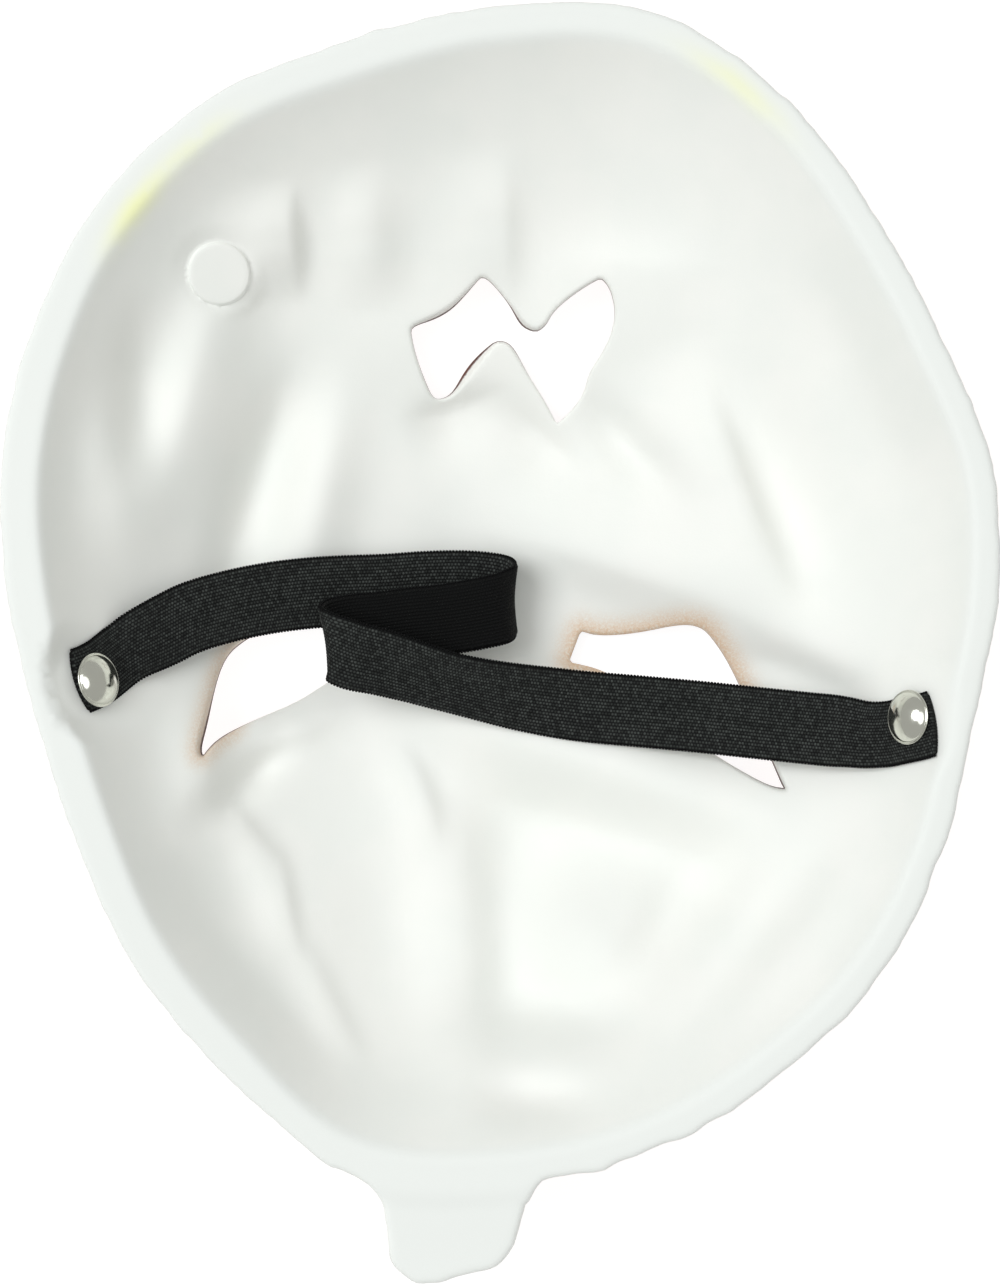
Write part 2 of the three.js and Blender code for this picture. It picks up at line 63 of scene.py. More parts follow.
studio = {
    "floorSize": 6,
    "floorWhite": "#828281",
    "floorGlow": 0.9,  # a lit table, so that the openings read white
    "keyFrom": (-0.46, 0.17, 0.87),  # towards the soft key light, over the upper left of the picture
    "keyDistance": 4,
    "keySize": 2.2,
    "keyPower": 78,
    "keyColor": "#FBFEFF",
    "fillHeight": 3,  # wide soft fill straight above, which reaches the bottom of the bowl
    "fillSize": 2.4,
    "fillPower": 19,
    "skyColor": "#F4F5F2",
    "skyStrength": 0.54,
}


def makeLight():
    scene = bpy.context.scene
    scene.view_settings.view_transform = "Standard"
    world = bpy.data.worlds.new("studio")
    world.use_nodes = True
    scene.world = world
    back = world.node_tree.nodes["Background"]
    back.inputs["Color"].default_value = linearColor(studio["skyColor"])
    back.inputs["Strength"].default_value = studio["skyStrength"]
    towards = Vector(studio["keyFrom"]).normalized()
    addSoftbox("keySoftbox", towards * studio["keyDistance"], studio["keySize"], studio["keyPower"])
    addSoftbox("fillSoftbox", Vector((0, 0, studio["fillHeight"])), studio["fillSize"], studio["fillPower"])


def addSoftbox(name, place, size, power):  # round soft light that faces the mask
    data = bpy.data.lights.new(name, "AREA")
    data.shape = "DISK"
    data.size = size
    data.energy = power
    data.color = linearColor(studio["keyColor"])[:3]
    lamp = bpy.data.objects.new(name, data)
    lamp.location = place
    lamp.rotation_euler = place.to_track_quat("Z", "Y").to_euler()
    bpy.context.collection.objects.link(lamp)


def makeFloor():
    half = studio["floorSize"] / 2
    corners = [(-half, -half, 0), (half, -half, 0), (half, half, 0), (-half, half, 0)]
    floor = newPiece("floor", corners, [(0, 1, 2, 3)])
    floor.data.materials.append(paperSweep())


# Small helpers


def linearColor(hexCode):
    parts = [int(hexCode[i : i + 2], 16) / 255 for i in (1, 3, 5)]
    return [p / 12.92 if p <= 0.04045 else ((p + 0.055) / 1.055) ** 2.4 for p in parts] + [1]


def newPiece(name, points, faces, edges=()):
    mesh = bpy.data.meshes.new(name)
    mesh.from_pydata([tuple(p) for p in points], edges, [tuple(f) for f in faces])
    mesh.shade_smooth()
    piece = bpy.data.objects.new(name, mesh)
    bpy.context.collection.objects.link(piece)
    return piece


def ringFaces(rings, size):  # quads between closed rings of points, and a face over each end
    faces = []
    for row in range(rings - 1):
        for k in range(size):
            a, b = row * size + k, row * size + (k + 1) % size
            faces.append((a, b, b + size, a + size))
    last = (rings - 1) * size
    return [*faces, tuple(reversed(range(size))), tuple(last + k for k in range(size))]


def addValues(piece, name, values):
    layer = piece.data.attributes.new(name, "FLOAT", "POINT")
    layer.data.foreach_set("value", np.asarray(values, dtype=np.float32))


def smoothStep(value):
    t = np.clip(value, 0, 1)
    return t * t * (3 - 2 * t)


def smoothMin(a, b, reach):
    blend = np.clip(0.5 + 0.5 * (b - a) / reach, 0, 1)
    return b + (a - b) * blend - reach * blend * (1 - blend)


def roundOff(distance, radius):  # how far a quarter-round edge drops, at a distance from the edge
    short = np.clip(radius - distance, 0, radius)
    return radius - np.sqrt(radius**2 - short**2)


def curveBetween(a, b, c, d, t):  # smooth curve from b to c, with a before them and d after
    return 0.5 * (2 * b + (c - a) * t + (2 * a - 5 * b + 4 * c - d) * t**2 + (3 * b - a - 3 * c + d) * t**3)


def fullTurn(count):
    return np.arange(count) * math.tau / count


def roundAbout(middle, radius, angle):
    return np.column_stack([middle[0] + radius * np.cos(angle), middle[1] + radius * np.sin(angle)])


def ripple(x, y, wavelength, seed, waves=7):  # smooth unevenness, mostly between -1 and 1
    rng = np.random.default_rng(seed)
    total = 0
    for _ in range(waves):
        turn = rng.uniform(0, math.tau)
        pace = math.tau / (wavelength * rng.uniform(0.7, 1.4))
        total = total + np.sin((x * math.cos(turn) + y * math.sin(turn)) * pace + rng.uniform(0, math.tau))
    return total / waves**0.5 / 1.5  # brings the sum of waves back to about 1


# Nodes


def addNode(tree, kind, links=None, **settings):  # links hold sockets, hex colours or plain values
    node = tree.nodes.new(kind)
    for name, value in settings.items():
        setattr(node, name, value)
    for socket, value in (links or {}).items():
        target = node.inputs[socket]
        if isinstance(value, bpy.types.NodeSocket):
            tree.links.new(value, target)
        else:
            target.default_value = linearColor(value) if isinstance(value, str) else value
    return node


def newMaterial(name, **values):
    material = bpy.data.materials.new(name)
    material.use_nodes = True
    tree = material.node_tree
    shader = tree.nodes["Principled BSDF"]
    for socket, value in values.items():
        shader.inputs[socket.replace("_", " ")].default_value = value
    return material, tree, shader


def paperSweep():  # seamless white paper on a lit table: an even white with no texture
    material, _, shader = newMaterial("whitePaper", Roughness=0.9, Emission_Strength=studio["floorGlow"])
    shader.inputs["Base Color"].default_value = linearColor(studio["floorWhite"])
    shader.inputs["Emission Color"].default_value = (1, 1, 1, 1)
    return material


# Form of the foam casting

shell = {
    "middle": (0, 0.0097),  # the point that the outline is measured from
    # outer radius of the rim every 15 degrees, anticlockwise from +X: sides, chin, sides, forehead
    "outline": (
        0.1094, 0.1123, 0.1129, 0.1180, 0.1271, 0.1340, 0.1312, 0.1278,
        0.1278, 0.1246, 0.1189, 0.1135, 0.1081, 0.1054, 0.1075, 0.1140,
        0.1212, 0.1310, 0.1296, 0.1266, 0.1218, 0.1179, 0.1124, 0.1077,
    ),
    "rimWidth": 0.0073,
    "rimWidthSway": 0.0013,  # the rim is this much wider at the left cheek, narrower at the right
    "rimRounding": 0.0014,
    "rimCorner": 0.0022,  # reach of the soft corner between the rim and the inner wall
    "rimHeight": 0.053,
    "rimSway": 0.0025,  # the rim stands this much higher at the temples, and lower at chin and forehead
    "foreheadDrop": 0.001,
    "floorHeight": 0.0055,
    "floorShift": (-0.004, 0.002),
    "wall": 0.005,
    "dishRise": 0.026,
    "wallPower": 5.5,
    "chinEase": 1,
    "foreheadEase": 0.5,
    "foldFade": 0.12,  # folds die away over this share of the radius below the rim
    "cutRounding": 0.0008,  # soft edge of the openings
}

# Folds of the face, seen from the hollow side: start, end, sideways bow at mid length, rise towards the
# wearer, and half widths on the left and right of travel. Millimetres.
folds = {
    "chin fold outer": ((-48.5, 104.5), (-47, 76.5), 0, 5, 3, 11),
    "chin fold middle": ((-31, 109), (-28, 74), 0, 4, 7, 8),
    "chin fold inner": ((-1, 113.5), (0.5, 74), 0, 3.2, 5, 12),
    "upper lip": ((4.5, 84), (55.5, 80.5), 0, 3, 9, 20),
    "lip": ((-72, 62), (58.5, 66), 5, 3, 16, 14),
    "lip crease left": ((-23.5, 48.5), (5.5, 57.5), 0, -4.5, 4, 9),
    "lip crease middle": ((-3.5, 58), (21, 35.5), 0, -4, 4, 8),
    "lip crease right": ((15, 60.5), (45, 28), 0, -5, 5, 6),
    "temple bulge": ((-87.5, 62), (-81, 9), 0, 4.5, 10, 8),
    "temple hollow": ((-80, 82), (-81.5, 32.5), 0, -4.5, 6, 5),
    "cheek crest": ((-56.5, 100), (-78, 19), 0, 5.5, 9, 7.5),
    "cheek hollow": ((-41.5, 72), (-64.5, 1), -2, -8, 9, 6.5),
    "nose side": ((-35.5, 68.5), (-47.5, -1.5), 0, 4.5, 8, 9),
    "nose": ((-7, 50.5), (-8, -10.5), 0, -2.5, 20, 12),
    "cheekbone": ((-29.5, 32.5), (97, -14), 7, 6, 12, 8),
    "smile line": ((38.5, 69.5), (66.5, -2.5), 0, 9, 7.5, 20),
    "smile crease": ((46, 67.5), (78, 1), 0, -3.5, 12, 8),
    "cheek end crease": ((49.5, 0), (91.5, -17.5), 0, -4.5, 5, 6),
    "far cheek crease": ((65.5, 100), (96, 19), 0, -2.5, 10, 10),
    "right eye socket": ((-9, 5.5), (74, -35), 5, -2, 13, 13),
    "left eye socket": ((-9, 8), (-69.5, -33), -7, -6, 13, 13),
    "brow": ((-50.5, -1.5), (85.5, -45.5), 0, 14, 13, 12),
    "brow crease": ((-29.5, -31), (70, -59), 0, -5, 9, 16),
    "left brow": ((-72, -30.5), (-26, -9), 0, 4.5, 8, 5),
    "eye corner crease": ((-71, -44), (-45, -19), 0, -5, 4.5, 4.5),
    "temple crest": ((-68.5, 1), (-65, -53), 0, 4, 5, 8),
    "leaf": ((-65, -33), (-47, -54.5), 0, 2.4, 2.8, 6),
    "leaf middle": ((-51.5, -43), (-45.5, -74.5), 0, 2.4, 2.6, 7),
    "leaf tail": ((-48.5, -61), (-28, -100.5), 0, 1.8, 2.8, 5),
    "leaf hollow": ((-73.5, -33), (-28, -107.5), -2, -4, 12, 13),
    "brow hook": ((-27.5, -18.5), (-14.5, -50), 3, 3, 3.5, 6),
    "forehead middle": ((-13.5, -16), (-7.5, -99.5), 1, 5, 9, 13),
    "forehead hollow": ((-22.5, -35), (-7, -112), 0, -6, 26, 24),
    "forehead groove 1": ((1.5, -28.5), (3.5, -114), 0, -4, 10, 9),
    "forehead bump": ((39.5, -41), (12.5, -83), 0, 4.5, 9, 18),
    "forehead groove 2": ((61, -36.5), (25, -87), 0, -5, 8, 10),
    "forehead rib 2": ((72, -35), (31.5, -91.5), 0, 3.5, 6.5, 10),
    "forehead groove 3": ((78, -37.5), (34.5, -95), 0, -3.5, 6, 6),
    "forehead rib 3": ((89, -37.5), (44.5, -95), 0, 3, 9, 8),
    "foot hollow": ((-17, -81), (40.5, -83.5), 0, -5, 9, 7),
    "foot ridge": ((-22.5, -95), (31.5, -94.5), 0, 2, 7, 8),
    "foot notch": ((-10, -103), (28, -104), 0, -5.5, 6, 5),
}
foldTaper = 0.45  # share of a fold's length over which each end dies away

# Openings cut through the face, as closed outlines. Millimetres.
openings = {
    "mouth": (
        (-20.4, 71.5), (-19.3, 72.6), (-15.7, 74), (-11.2, 76.5), (-7.4, 80), (-4.3, 83.4), (-2.5, 82.7),
        (0.7, 79.1), (3.6, 75.6), (5.8, 72.4), (8.3, 71.3), (10.3, 72.4), (11.9, 75.3), (15, 78.2),
        (19.7, 81.4), (22.9, 83), (24.9, 80.9), (26.2, 76), (25.6, 71.1), (23.1, 65.9), (20.2, 61.9),
        (19.3, 57.8), (17.3, 54.3), (13, 50.2), (10.3, 55.4), (5.6, 62.6), (2.9, 67.3), (1.1, 68.6),
        (-0.7, 68.6), (-2.5, 66.8), (-6.7, 61.4), (-10.5, 56.7), (-13.9, 55.6), (-15.7, 56.3),
        (-17.7, 61), (-19.5, 66.6),
    ),
    "rightEye": (
        (15.8, -4.1), (18.5, 3), (22.2, 1.8), (30.8, 2.3), (41.3, 4.6), (45.7, 3.9), (48.2, 1.6), (53, -5.5),
        (61.9, -26.3), (64.9, -33.1), (60.5, -32.4), (48.2, -25.1), (36.5, -15.5), (25.1, -6.2),
    ),
    "leftEye": (
        (-18.5, -0.2), (-27.4, 4.1), (-39.9, 5.2), (-53.9, 3.7), (-58.9, 0.9), (-63, -3.2), (-65.7, -13.5),
        (-68.2, -23.5), (-67.1, -25.8), (-63.5, -21.7), (-55.7, -17.1), (-45.9, -13.2), (-38.8, -8.2),
        (-29.2, -3.7),
    ),
}

# Round casting mark on the inside of the cheek
boss = {
    "at": (-0.0628, 0.0828),
    "radius": 0.0069,
    "rise": 0.0008,
    "lean": 0.7,  # its share of the wall's own slope
    "edge": 0.0006,
    "groove": 0.0004,
    "grooveWidth": 0.0005,
    "settle": 0.7,  # how far the wall round it is pulled to the disc's plane
    "settleReach": 0.004,
}

stem = {
    "top": 0.0489,
    "sag": 0.0016,  # the tab droops this much towards its tip
    "ribs": 4,
    "ribDepth": 0.0012,
    "rootReach": 0.004,  # reach of the soft corner where it leaves the forehead
    "rootBlend": 0.005,  # its flat back runs into the rim over this distance
    "sagFrom": 0.118,  # where the droop begins, towards the tip, and over what distance
    "sagLength": 0.024,
    "frontFrom": 0.092,  # where its front begins to stand out of the forehead, and over what distance
    "frontLength": 0.012,
    # seen from the hollow side, from its left root round the tip to its right root. Millimetres.
    "outline": (
        (-35.3, -116.1), (-30.9, -118.3), (-28.2, -120.5), (-26.5, -122.7), (-25.6, -125.5), (-24.9, -132.6),
        (-24.3, -136), (-22.7, -138.6), (-20.5, -140.4), (-17.7, -141.7), (-13.2, -141.5), (-8.8, -139.9),
        (-1.8, -138.2), (1.1, -136), (3.1, -132.9), (4.9, -126.2), (5.5, -124), (6.6, -122.9), (8.8, -119.6),
        (10.4, -118.5), (16.6, -117), (22.1, -116.1),
    ),
    "from": 252,  # degrees round the mask where the tab's outline takes over from the rim's
    "to": 281,
    # place along Y, left edge, right edge and depth towards the front. Millimetres.
    "stations": (
        (-141.9, -17, -14.5, 4), (-139.4, -21.9, -6.3, 9.5), (-136, -24.3, 1.1, 12.8), (-131, -25.1, 3.8, 14),
        (-125.5, -25.7, 5.1, 15), (-122, -26.9, 6.9, 16), (-119, -30, 9.8, 17), (-116, -33, 16, 17),
    ),
}

# Flat seats in the wall for the rivets. A strapLine is the band's middle on its seat, along and across.
seats = {
    "left": {
        "at": (-0.0906, -0.0083, 0.0434),
        "side": 1,  # which way is inwards, along X
        "turn": 12,  # degrees round Z
        "strapLine": (
            (-0.0040, 0.0006), (-0.0011, 0.0010), (0.0024, 0.0018), (0.0058, 0.0030), (0.0093, 0.0043),
        ),
        "endBow": 0.0016,  # the cut end bulges by this much
    },
    "right": {
        "at": (0.0918, -0.0163, 0.0464),
        "side": -1,
        "turn": 4,
        "strapLine": (
            (0.0071, -0.0041), (0.0037, -0.0034), (0.0005, -0.0027), (-0.0030, -0.0019), (-0.0058, -0.0011),
        ),
        "endBow": 0.0012,
    },
    "tilt": 48,  # degrees between the seats and the floor
    "reach": 0.015,  # the seat blends into the wall over this distance
}


def outlineRadius(angle):
    radii = np.array(shell["outline"])
    count = len(radii)
    place = (np.asarray(angle) / math.tau) % 1 * count
    whole = np.floor(place).astype(int)
    t = place - whole
    a, b, c, d = (radii[(whole + k) % count] for k in (-1, 0, 1, 2))
    return curveBetween(a, b, c, d, t)


def rimHeight(angle):
    sway = shell["rimSway"] * np.cos(2 * angle)
    return shell["rimHeight"] + sway - shell["foreheadDrop"] * np.maximum(-np.sin(angle), 0)


def rimWidth(angle):
    return shell["rimWidth"] - shell["rimWidthSway"] * np.cos(angle)


def locate(x, y, inner):  # share of the way from the middle to the rim or its inner edge, and the angle round
    share = np.ones_like(x)
    for _ in range(6):  # the middle shifts with depth, so this closes in on the share
        dx = x - shell["middle"][0] - (1 - share) * shell["floorShift"][0]
        dy = y - shell["middle"][1] - (1 - share) * shell["floorShift"][1]
        angle = np.arctan2(dy, dx)
        share = np.hypot(dx, dy) / (outlineRadius(angle) - inner * rimWidth(angle))
    return share, angle


def bowlHeight(share, angle, floor):
    sine = np.sin(angle)
    ease = np.where(sine > 0, shell["chinEase"], shell["foreheadEase"])
    power = shell["wallPower"] - ease * sine**2
    wallRise = rimHeight(angle) - floor - shell["dishRise"]
    return floor + shell["dishRise"] * share**2 + wallRise * share**power


def foldRise(x, y):
    total = np.zeros_like(x)
    for (x0, y0), (x1, y1), bow, rise, left, right in folds.values():
        length = math.hypot(x1 - x0, y1 - y0)
        dx, dy = (x1 - x0) / length, (y1 - y0) / length
        px, py = x / mm - x0, y / mm - y0
        along = (px * dx + py * dy) / length
        across = dx * py - dy * px - 4 * along * (1 - along) * bow
        width = right + (left - right) * smoothStep(0.5 + 2 * across / (left + right))
        ends = smoothStep(np.minimum(along, 1 - along) / foldTaper)
        total += rise * ends * np.exp(-((across / width) ** 2))
    return total * mm


def seatRise(x, y, height):
    slope = math.tan(math.radians(seats["tilt"]))
    total = np.zeros_like(x)
    for name in ("left", "right"):
        seat = seats[name]
        dx, dy = x - seat["at"][0], y - seat["at"][1]
        turn = math.radians(seat["turn"])
        inward = seat["side"] * math.cos(turn) * dx + math.sin(turn) * dy
        weight = smoothStep((seats["reach"] - np.hypot(dx, dy)) / (0.5 * seats["reach"]))
        total += weight * (seat["at"][2] - slope * inward - height)
    return total


def innerHeight(x, y):
    share, angle = locate(x, y, True)
    smooth = bowlHeight(share, angle, shell["floorHeight"])
    folded = smooth + smoothStep((1 - share) / shell["foldFade"]) * foldRise(x, y)
    return pressBoss(x, y, np.maximum(folded + seatRise(x, y, folded), 0))


def pressBoss(x, y, height):  # a flat disc that lies along the wall, with a fine groove round it
    dx, dy = x - boss["at"][0], y - boss["at"][1]
    away = np.hypot(dx, dy)
    under = away < boss["radius"]
    if under.sum() < 30:  # too few points here to find the wall's slope
        return height
    columns = np.column_stack([dx, dy, np.ones_like(dx)])
    plane, *_ = np.linalg.lstsq(columns[under], height[under], rcond=None)
    flat = boss["lean"] * (plane[0] * dx + plane[1] * dy) + plane[2]
    disc = flat + boss["rise"] - roundOff(np.maximum(boss["radius"] - away, 0), boss["edge"])
    near = smoothStep((boss["radius"] + boss["settleReach"] - away) / boss["settleReach"])
    groove = boss["groove"] * np.exp(-(((away - boss["radius"]) / boss["grooveWidth"]) ** 2))
    around = height + (flat - height) * boss["settle"] * near - groove
    return np.where(under, disc, around)


def outerHeight(x, y):
    share, angle = locate(x, y, False)
    smooth = bowlHeight(share, angle, shell["floorHeight"] - shell["wall"])
    return np.maximum(smooth + smoothStep((1 - share) / shell["foldFade"]) * foldRise(x, y), 0)


def rimTop(x, y):
    share, angle = locate(x, y, False)
    off = (share - 1) * outlineRadius(angle)  # beyond the rim this is the stem
    tab = smoothStep(off / stem["rootBlend"])
    tip = smoothStep((-y - stem["sagFrom"]) / stem["sagLength"])
    return rimHeight(angle) * (1 - tab) + (stem["top"] - stem["sag"] * tip) * tab


def stemFront(x, y):
    places, lefts, rights, depths = (np.array(column) * mm for column in zip(*stem["stations"]))
    left, right, depth = (np.interp(y, places, column) for column in (lefts, rights, depths))
    across = np.clip((2 * x - left - right) / (right - left), -1, 1)
    turn = np.arccos(across)
    rib = stem["ribDepth"] * np.cos(2 * stem["ribs"] * turn) * np.sin(turn)
    shown = smoothStep((-y - stem["frontFrom"]) / stem["frontLength"])
    return stem["top"] - (depth + rib) * np.sin(turn) * shown


def backHeight(x, y, edge, cut):  # the side towards the wearer
    top = smoothMin(innerHeight(x, y), rimTop(x, y), shell["rimCorner"])
    return top - roundOff(edge, shell["rimRounding"]) - roundOff(cut, shell["cutRounding"])


def frontHeight(x, y, cut):  # the side towards the floor
    bottom = smoothMin(outerHeight(x, y), stemFront(x, y), stem["rootReach"])
    bottom = np.minimum(bottom, rimTop(x, y) - shell["rimRounding"])
    return np.maximum(bottom, 0) + roundOff(cut, shell["cutRounding"])


# Outlines and points of the casting, seen from above


# How the points of the surface are laid out: rows along every edge, and an even grid between them
plan = {
    "spacing": 0.0013,  # of the grid and of the outline
    "cutSpacing": 0.0009,  # along the openings
    "cutCorner": 0.0007,  # their sharp corners are softened within this distance
    "rimSpacing": 0.0014,  # along the rim's inner edge
    "rimLength": 0.74,  # of that edge, all the way round
    "edgeRows": (0.0003, 0.0008, 0.0015, 0.0026),  # distances in from the outline
    "rimRows": (-0.0024, -0.0014, -0.0006, 0, 0.0006, 0.0013, 0.0023, 0.0035),  # both sides of that edge
    "cutRows": (-0.0003, -0.0008, -0.0016),  # distances out from the openings
    "bossRows": (-0.0014, -0.0006, -0.0002, 0, 0.0002, 0.001),
    "bossPoints": 56,
    "rimBand": (-0.0034, 0.0044),  # the grid leaves these bands to the rows
    "bossBand": (0.0045, 0.0088),
    "edgeGap": 0.0034,
    "cutGap": 0.0024,
    "rowGap": 0.00027,  # a row's points come no nearer to its line than this
}


def curveThrough(points, perSpan=12):  # smooth open curve through given points
    points = np.asarray(points, float)
    ends = np.vstack([2 * points[0] - points[1], points, 2 * points[-1] - points[-2]])
    out = []
    for k in range(1, len(ends) - 2):
        a, b, c, d = ends[k - 1 : k + 3]
        for t in np.arange(perSpan) / perSpan:
            out.append(curveBetween(a, b, c, d, t))
    out.append(points[-1])
    return np.array(out)


def softenCorners(points, cut):  # gentle bends become one smooth curve, sharp corners a small one within cut
    gentlest = math.cos(math.radians(50))
    out = []
    count = len(points)
    for k in range(count):
        corner = points[k]
        before, after = points[k - 1] - corner, points[(k + 1) % count] - corner
        lengths = np.linalg.norm(before), np.linalg.norm(after)
        gentle = -before @ after > gentlest * lengths[0] * lengths[1]
        start = corner + before * (0.5 if gentle else min(cut / lengths[0], 0.4))
        end = corner + after * (0.5 if gentle else min(cut / lengths[1], 0.4))
        for t in (0, 0.25, 0.5, 0.75, 1):
            out.append((1 - t) ** 2 * start + 2 * t * (1 - t) * corner + t**2 * end)
    return np.array(out)


def evenLoop(points, step):  # the same closed line with evenly spaced points
    closed = np.vstack([points, points[:1]])
    lengths = np.linalg.norm(np.diff(closed, axis=0), axis=1)
    places = np.concatenate([[0], np.cumsum(lengths)])
    wanted = np.linspace(0, places[-1], round(places[-1] / step), endpoint=False)
    return np.column_stack([np.interp(wanted, places, closed[:, k]) for k in (0, 1)])


def inside(points, loop):
    result = np.zeros(len(points), bool)
    x, y = points[:, 0], points[:, 1]
    for (x0, y0), (x1, y1) in zip(loop, np.roll(loop, -1, axis=0)):
        if y0 == y1:
            continue
        crosses = ((y0 > y) != (y1 > y)) & (x < (x1 - x0) * (y - y0) / (y1 - y0) + x0)
        result ^= crosses
    return result


def distanceTo(points, loop, reach):  # distance to a closed line, or reach where it is further off
    result = np.full(len(points), reach)
    for start, end in zip(loop, np.roll(loop, -1, axis=0)):
        near = np.flatnonzero(np.abs(points - start).max(axis=1) < reach + np.abs(end - start).max())
        if not len(near):
            continue
        run = end - start
        t = np.clip(((points[near] - start) @ run) / (run @ run), 0, 1)
        gap = np.linalg.norm(points[near] - start - t[:, None] * run, axis=1)
        result[near] = np.minimum(result[near], gap)
    return result


def shifted(loop, distance):  # the loop moved to its left, by one distance or by one for each point
    along = np.roll(loop, -1, axis=0) - np.roll(loop, 1, axis=0)
    along /= np.linalg.norm(along, axis=1)[:, None]
    return loop + np.reshape(distance, (-1, 1)) * np.column_stack([-along[:, 1], along[:, 0]])


def rimRing(further):  # follows the rim's inner edge, or runs this much nearer to the middle
    angle = fullTurn(round(plan["rimLength"] / plan["rimSpacing"]))
    return roundAbout(shell["middle"], outlineRadius(angle) - rimWidth(angle) - further, angle)


# How the rim was trimmed by hand: an uneven line with a few steps and bumps
trim = {
    "sway": 0.00022,
    "longWave": 0.013,
    "shortWave": 0.005,
    # place, how far the edge stands out, spread. Millimetres.
    "marks": (
        ((-27.5, 134.9), 0.6, 4), ((-58.3, 123), 0.35, 3), ((-36.7, 132.2), 0.3, 3), ((22, -115.7), 0.6, 4),
        ((24.6, -113.6), -0.6, 3), ((41.8, -107.8), 0.5, 4), ((35.2, -110.2), -0.3, 3),
        ((94.2, -50.2), -0.9, 3.5), ((49.5, -103), 0.4, 3), ((-51.5, 126.3), -0.25, 3),
        ((74.8, -82.3), 0.3, 3), ((-79, -75), 0.3, 4),
    ),
}


def trimmed(loop):
    x, y = loop.T
    out = trim["sway"] * (ripple(x, y, trim["longWave"], 4) + 0.5 * ripple(x, y, trim["shortWave"], 5))
    for (u, v), depth, spread in trim["marks"]:
        out += depth * mm * np.exp(-(((x / mm - u) ** 2 + (y / mm - v) ** 2) / spread**2))
    return shifted(loop, -out)


def castingOutline():
    start = math.radians(stem["to"])
    end = math.radians(stem["from"] + 360)
    angle = np.linspace(start, end, 400)
    rim = roundAbout(shell["middle"], outlineRadius(angle), angle)
    meet = 12  # points of the rim over which the tab's line runs in
    tab = curveThrough([rim[-meet], rim[-1], *(np.array(stem["outline"]) * mm), rim[0], rim[meet - 1]])
    return trimmed(evenLoop(np.vstack([rim[meet:-meet], tab]), plan["spacing"]))


def openingLoops():
    cuts = []
    for points in openings.values():
        loop = evenLoop(softenCorners(np.array(points) * mm, plan["cutCorner"]), plan["cutSpacing"])
        cuts.append(loop if turnsLeft(loop) else loop[::-1])
    return cuts


def gridPoints():  # even triangles over the whole mask, except where rows of points lie closer
    step = plan["spacing"]
    across, down = np.meshgrid(np.arange(-0.12, 0.12, step), np.arange(-0.15, 0.15, step * math.sqrt(3) / 2))
    across[1::2] += step / 2
    grid = np.column_stack([across.ravel(), down.ravel()])
    share, angle = locate(grid[:, 0], grid[:, 1], False)
    further = (1 - share) * outlineRadius(angle) - rimWidth(angle)
    fromBoss = np.hypot(*(grid - boss["at"]).T)
    offRim = (further > plan["rimBand"][1]) | (further < plan["rimBand"][0])
    offBoss = (fromBoss < plan["bossBand"][0]) | (fromBoss > plan["bossBand"][1])
    return grid[offRim & offBoss]


def clearOf(points, loop, least):  # which points lie further than this from a closed line
    return distanceTo(points, loop, 2 * least) > least


def rowsBeside(loop, distances):  # without the points that come back too near to the line in its bends
    rows = np.vstack([shifted(loop, d) for d in distances])
    return rows[clearOf(rows, loop, plan["rowGap"])]


def planPoints(outline, cuts):
    rimRows = np.vstack([rimRing(d) for d in plan["rimRows"]])
    free = np.vstack([gridPoints(), rimRows])
    free = free[inside(free, outline) & clearOf(free, outline, plan["edgeGap"])]
    turn = fullTurn(plan["bossPoints"])
    bossRows = [roundAbout(boss["at"], boss["radius"] + d, turn) for d in plan["bossRows"]]
    free = np.vstack([free, *bossRows])
    for loop in cuts:
        free = free[~inside(free, loop) & clearOf(free, loop, plan["cutGap"])]
    edgeRows = rowsBeside(outline, plan["edgeRows"])
    cutRows = [rowsBeside(loop, plan["cutRows"]) for loop in cuts]
    return np.vstack([outline, *cuts, edgeRows, free, *cutRows])


def makePlan():
    outline = castingOutline()
    cuts = openingLoops()
    fixed = [outline, *cuts]
    edges = []
    first = 0
    for loop in fixed:
        edges += [(first + k, first + (k + 1) % len(loop)) for k in range(len(loop))]
        first += len(loop)
    spots = [Vector(p) / mm for p in planPoints(outline, cuts)]
    places, _, faces, *_ = geometry.delaunay_2d_cdt(spots, edges, [], 1, 1e-4, False)  # keeps the edges
    places = np.array([tuple(p) for p in places]) * mm
    faces = np.array([f for f in faces if len(f) == 3])
    middles = places[faces].mean(axis=1)
    solid = inside(middles, outline)
    for loop in cuts:
        solid &= ~inside(middles, loop)
    a, b, c = (places[faces[:, k]] for k in range(3))
    leftTurn = np.cross(b - a, c - a) > 0
    faces = np.where(leftTurn[:, None], faces, faces[:, ::-1])
    return places, faces[solid], [len(loop) for loop in fixed], outline, cuts


def turnsLeft(loop):
    x, y = loop.T
    return np.sum(x * np.roll(y, -1) - y * np.roll(x, -1)) > 0


# Places where the knife leaned, so that the painted side of the cut shows from behind: x, y, spread, lean.
# Millimetres.
leans = (
    (-6, 62.5, 8, 1.6), (-13, 75.5, 6, 0.5), (5, 73.5, 4, 0.7), (67, -31, 5, 0.6), (-66, -20, 7, 0.7),
    (-58, 3, 8, 0.4), (60, -24, 8, 0.4),
)


def leaned(loop):  # the same opening on the painted side
    x, y = loop.T / mm
    lean = sum(amount * np.exp(-((x - u) ** 2 + (y - v) ** 2) / spread**2) for u, v, spread, amount in leans)
    return shifted(loop, lean * mm)


# The casting itself: back and front surfaces over one plan, joined along the rim and through the openings


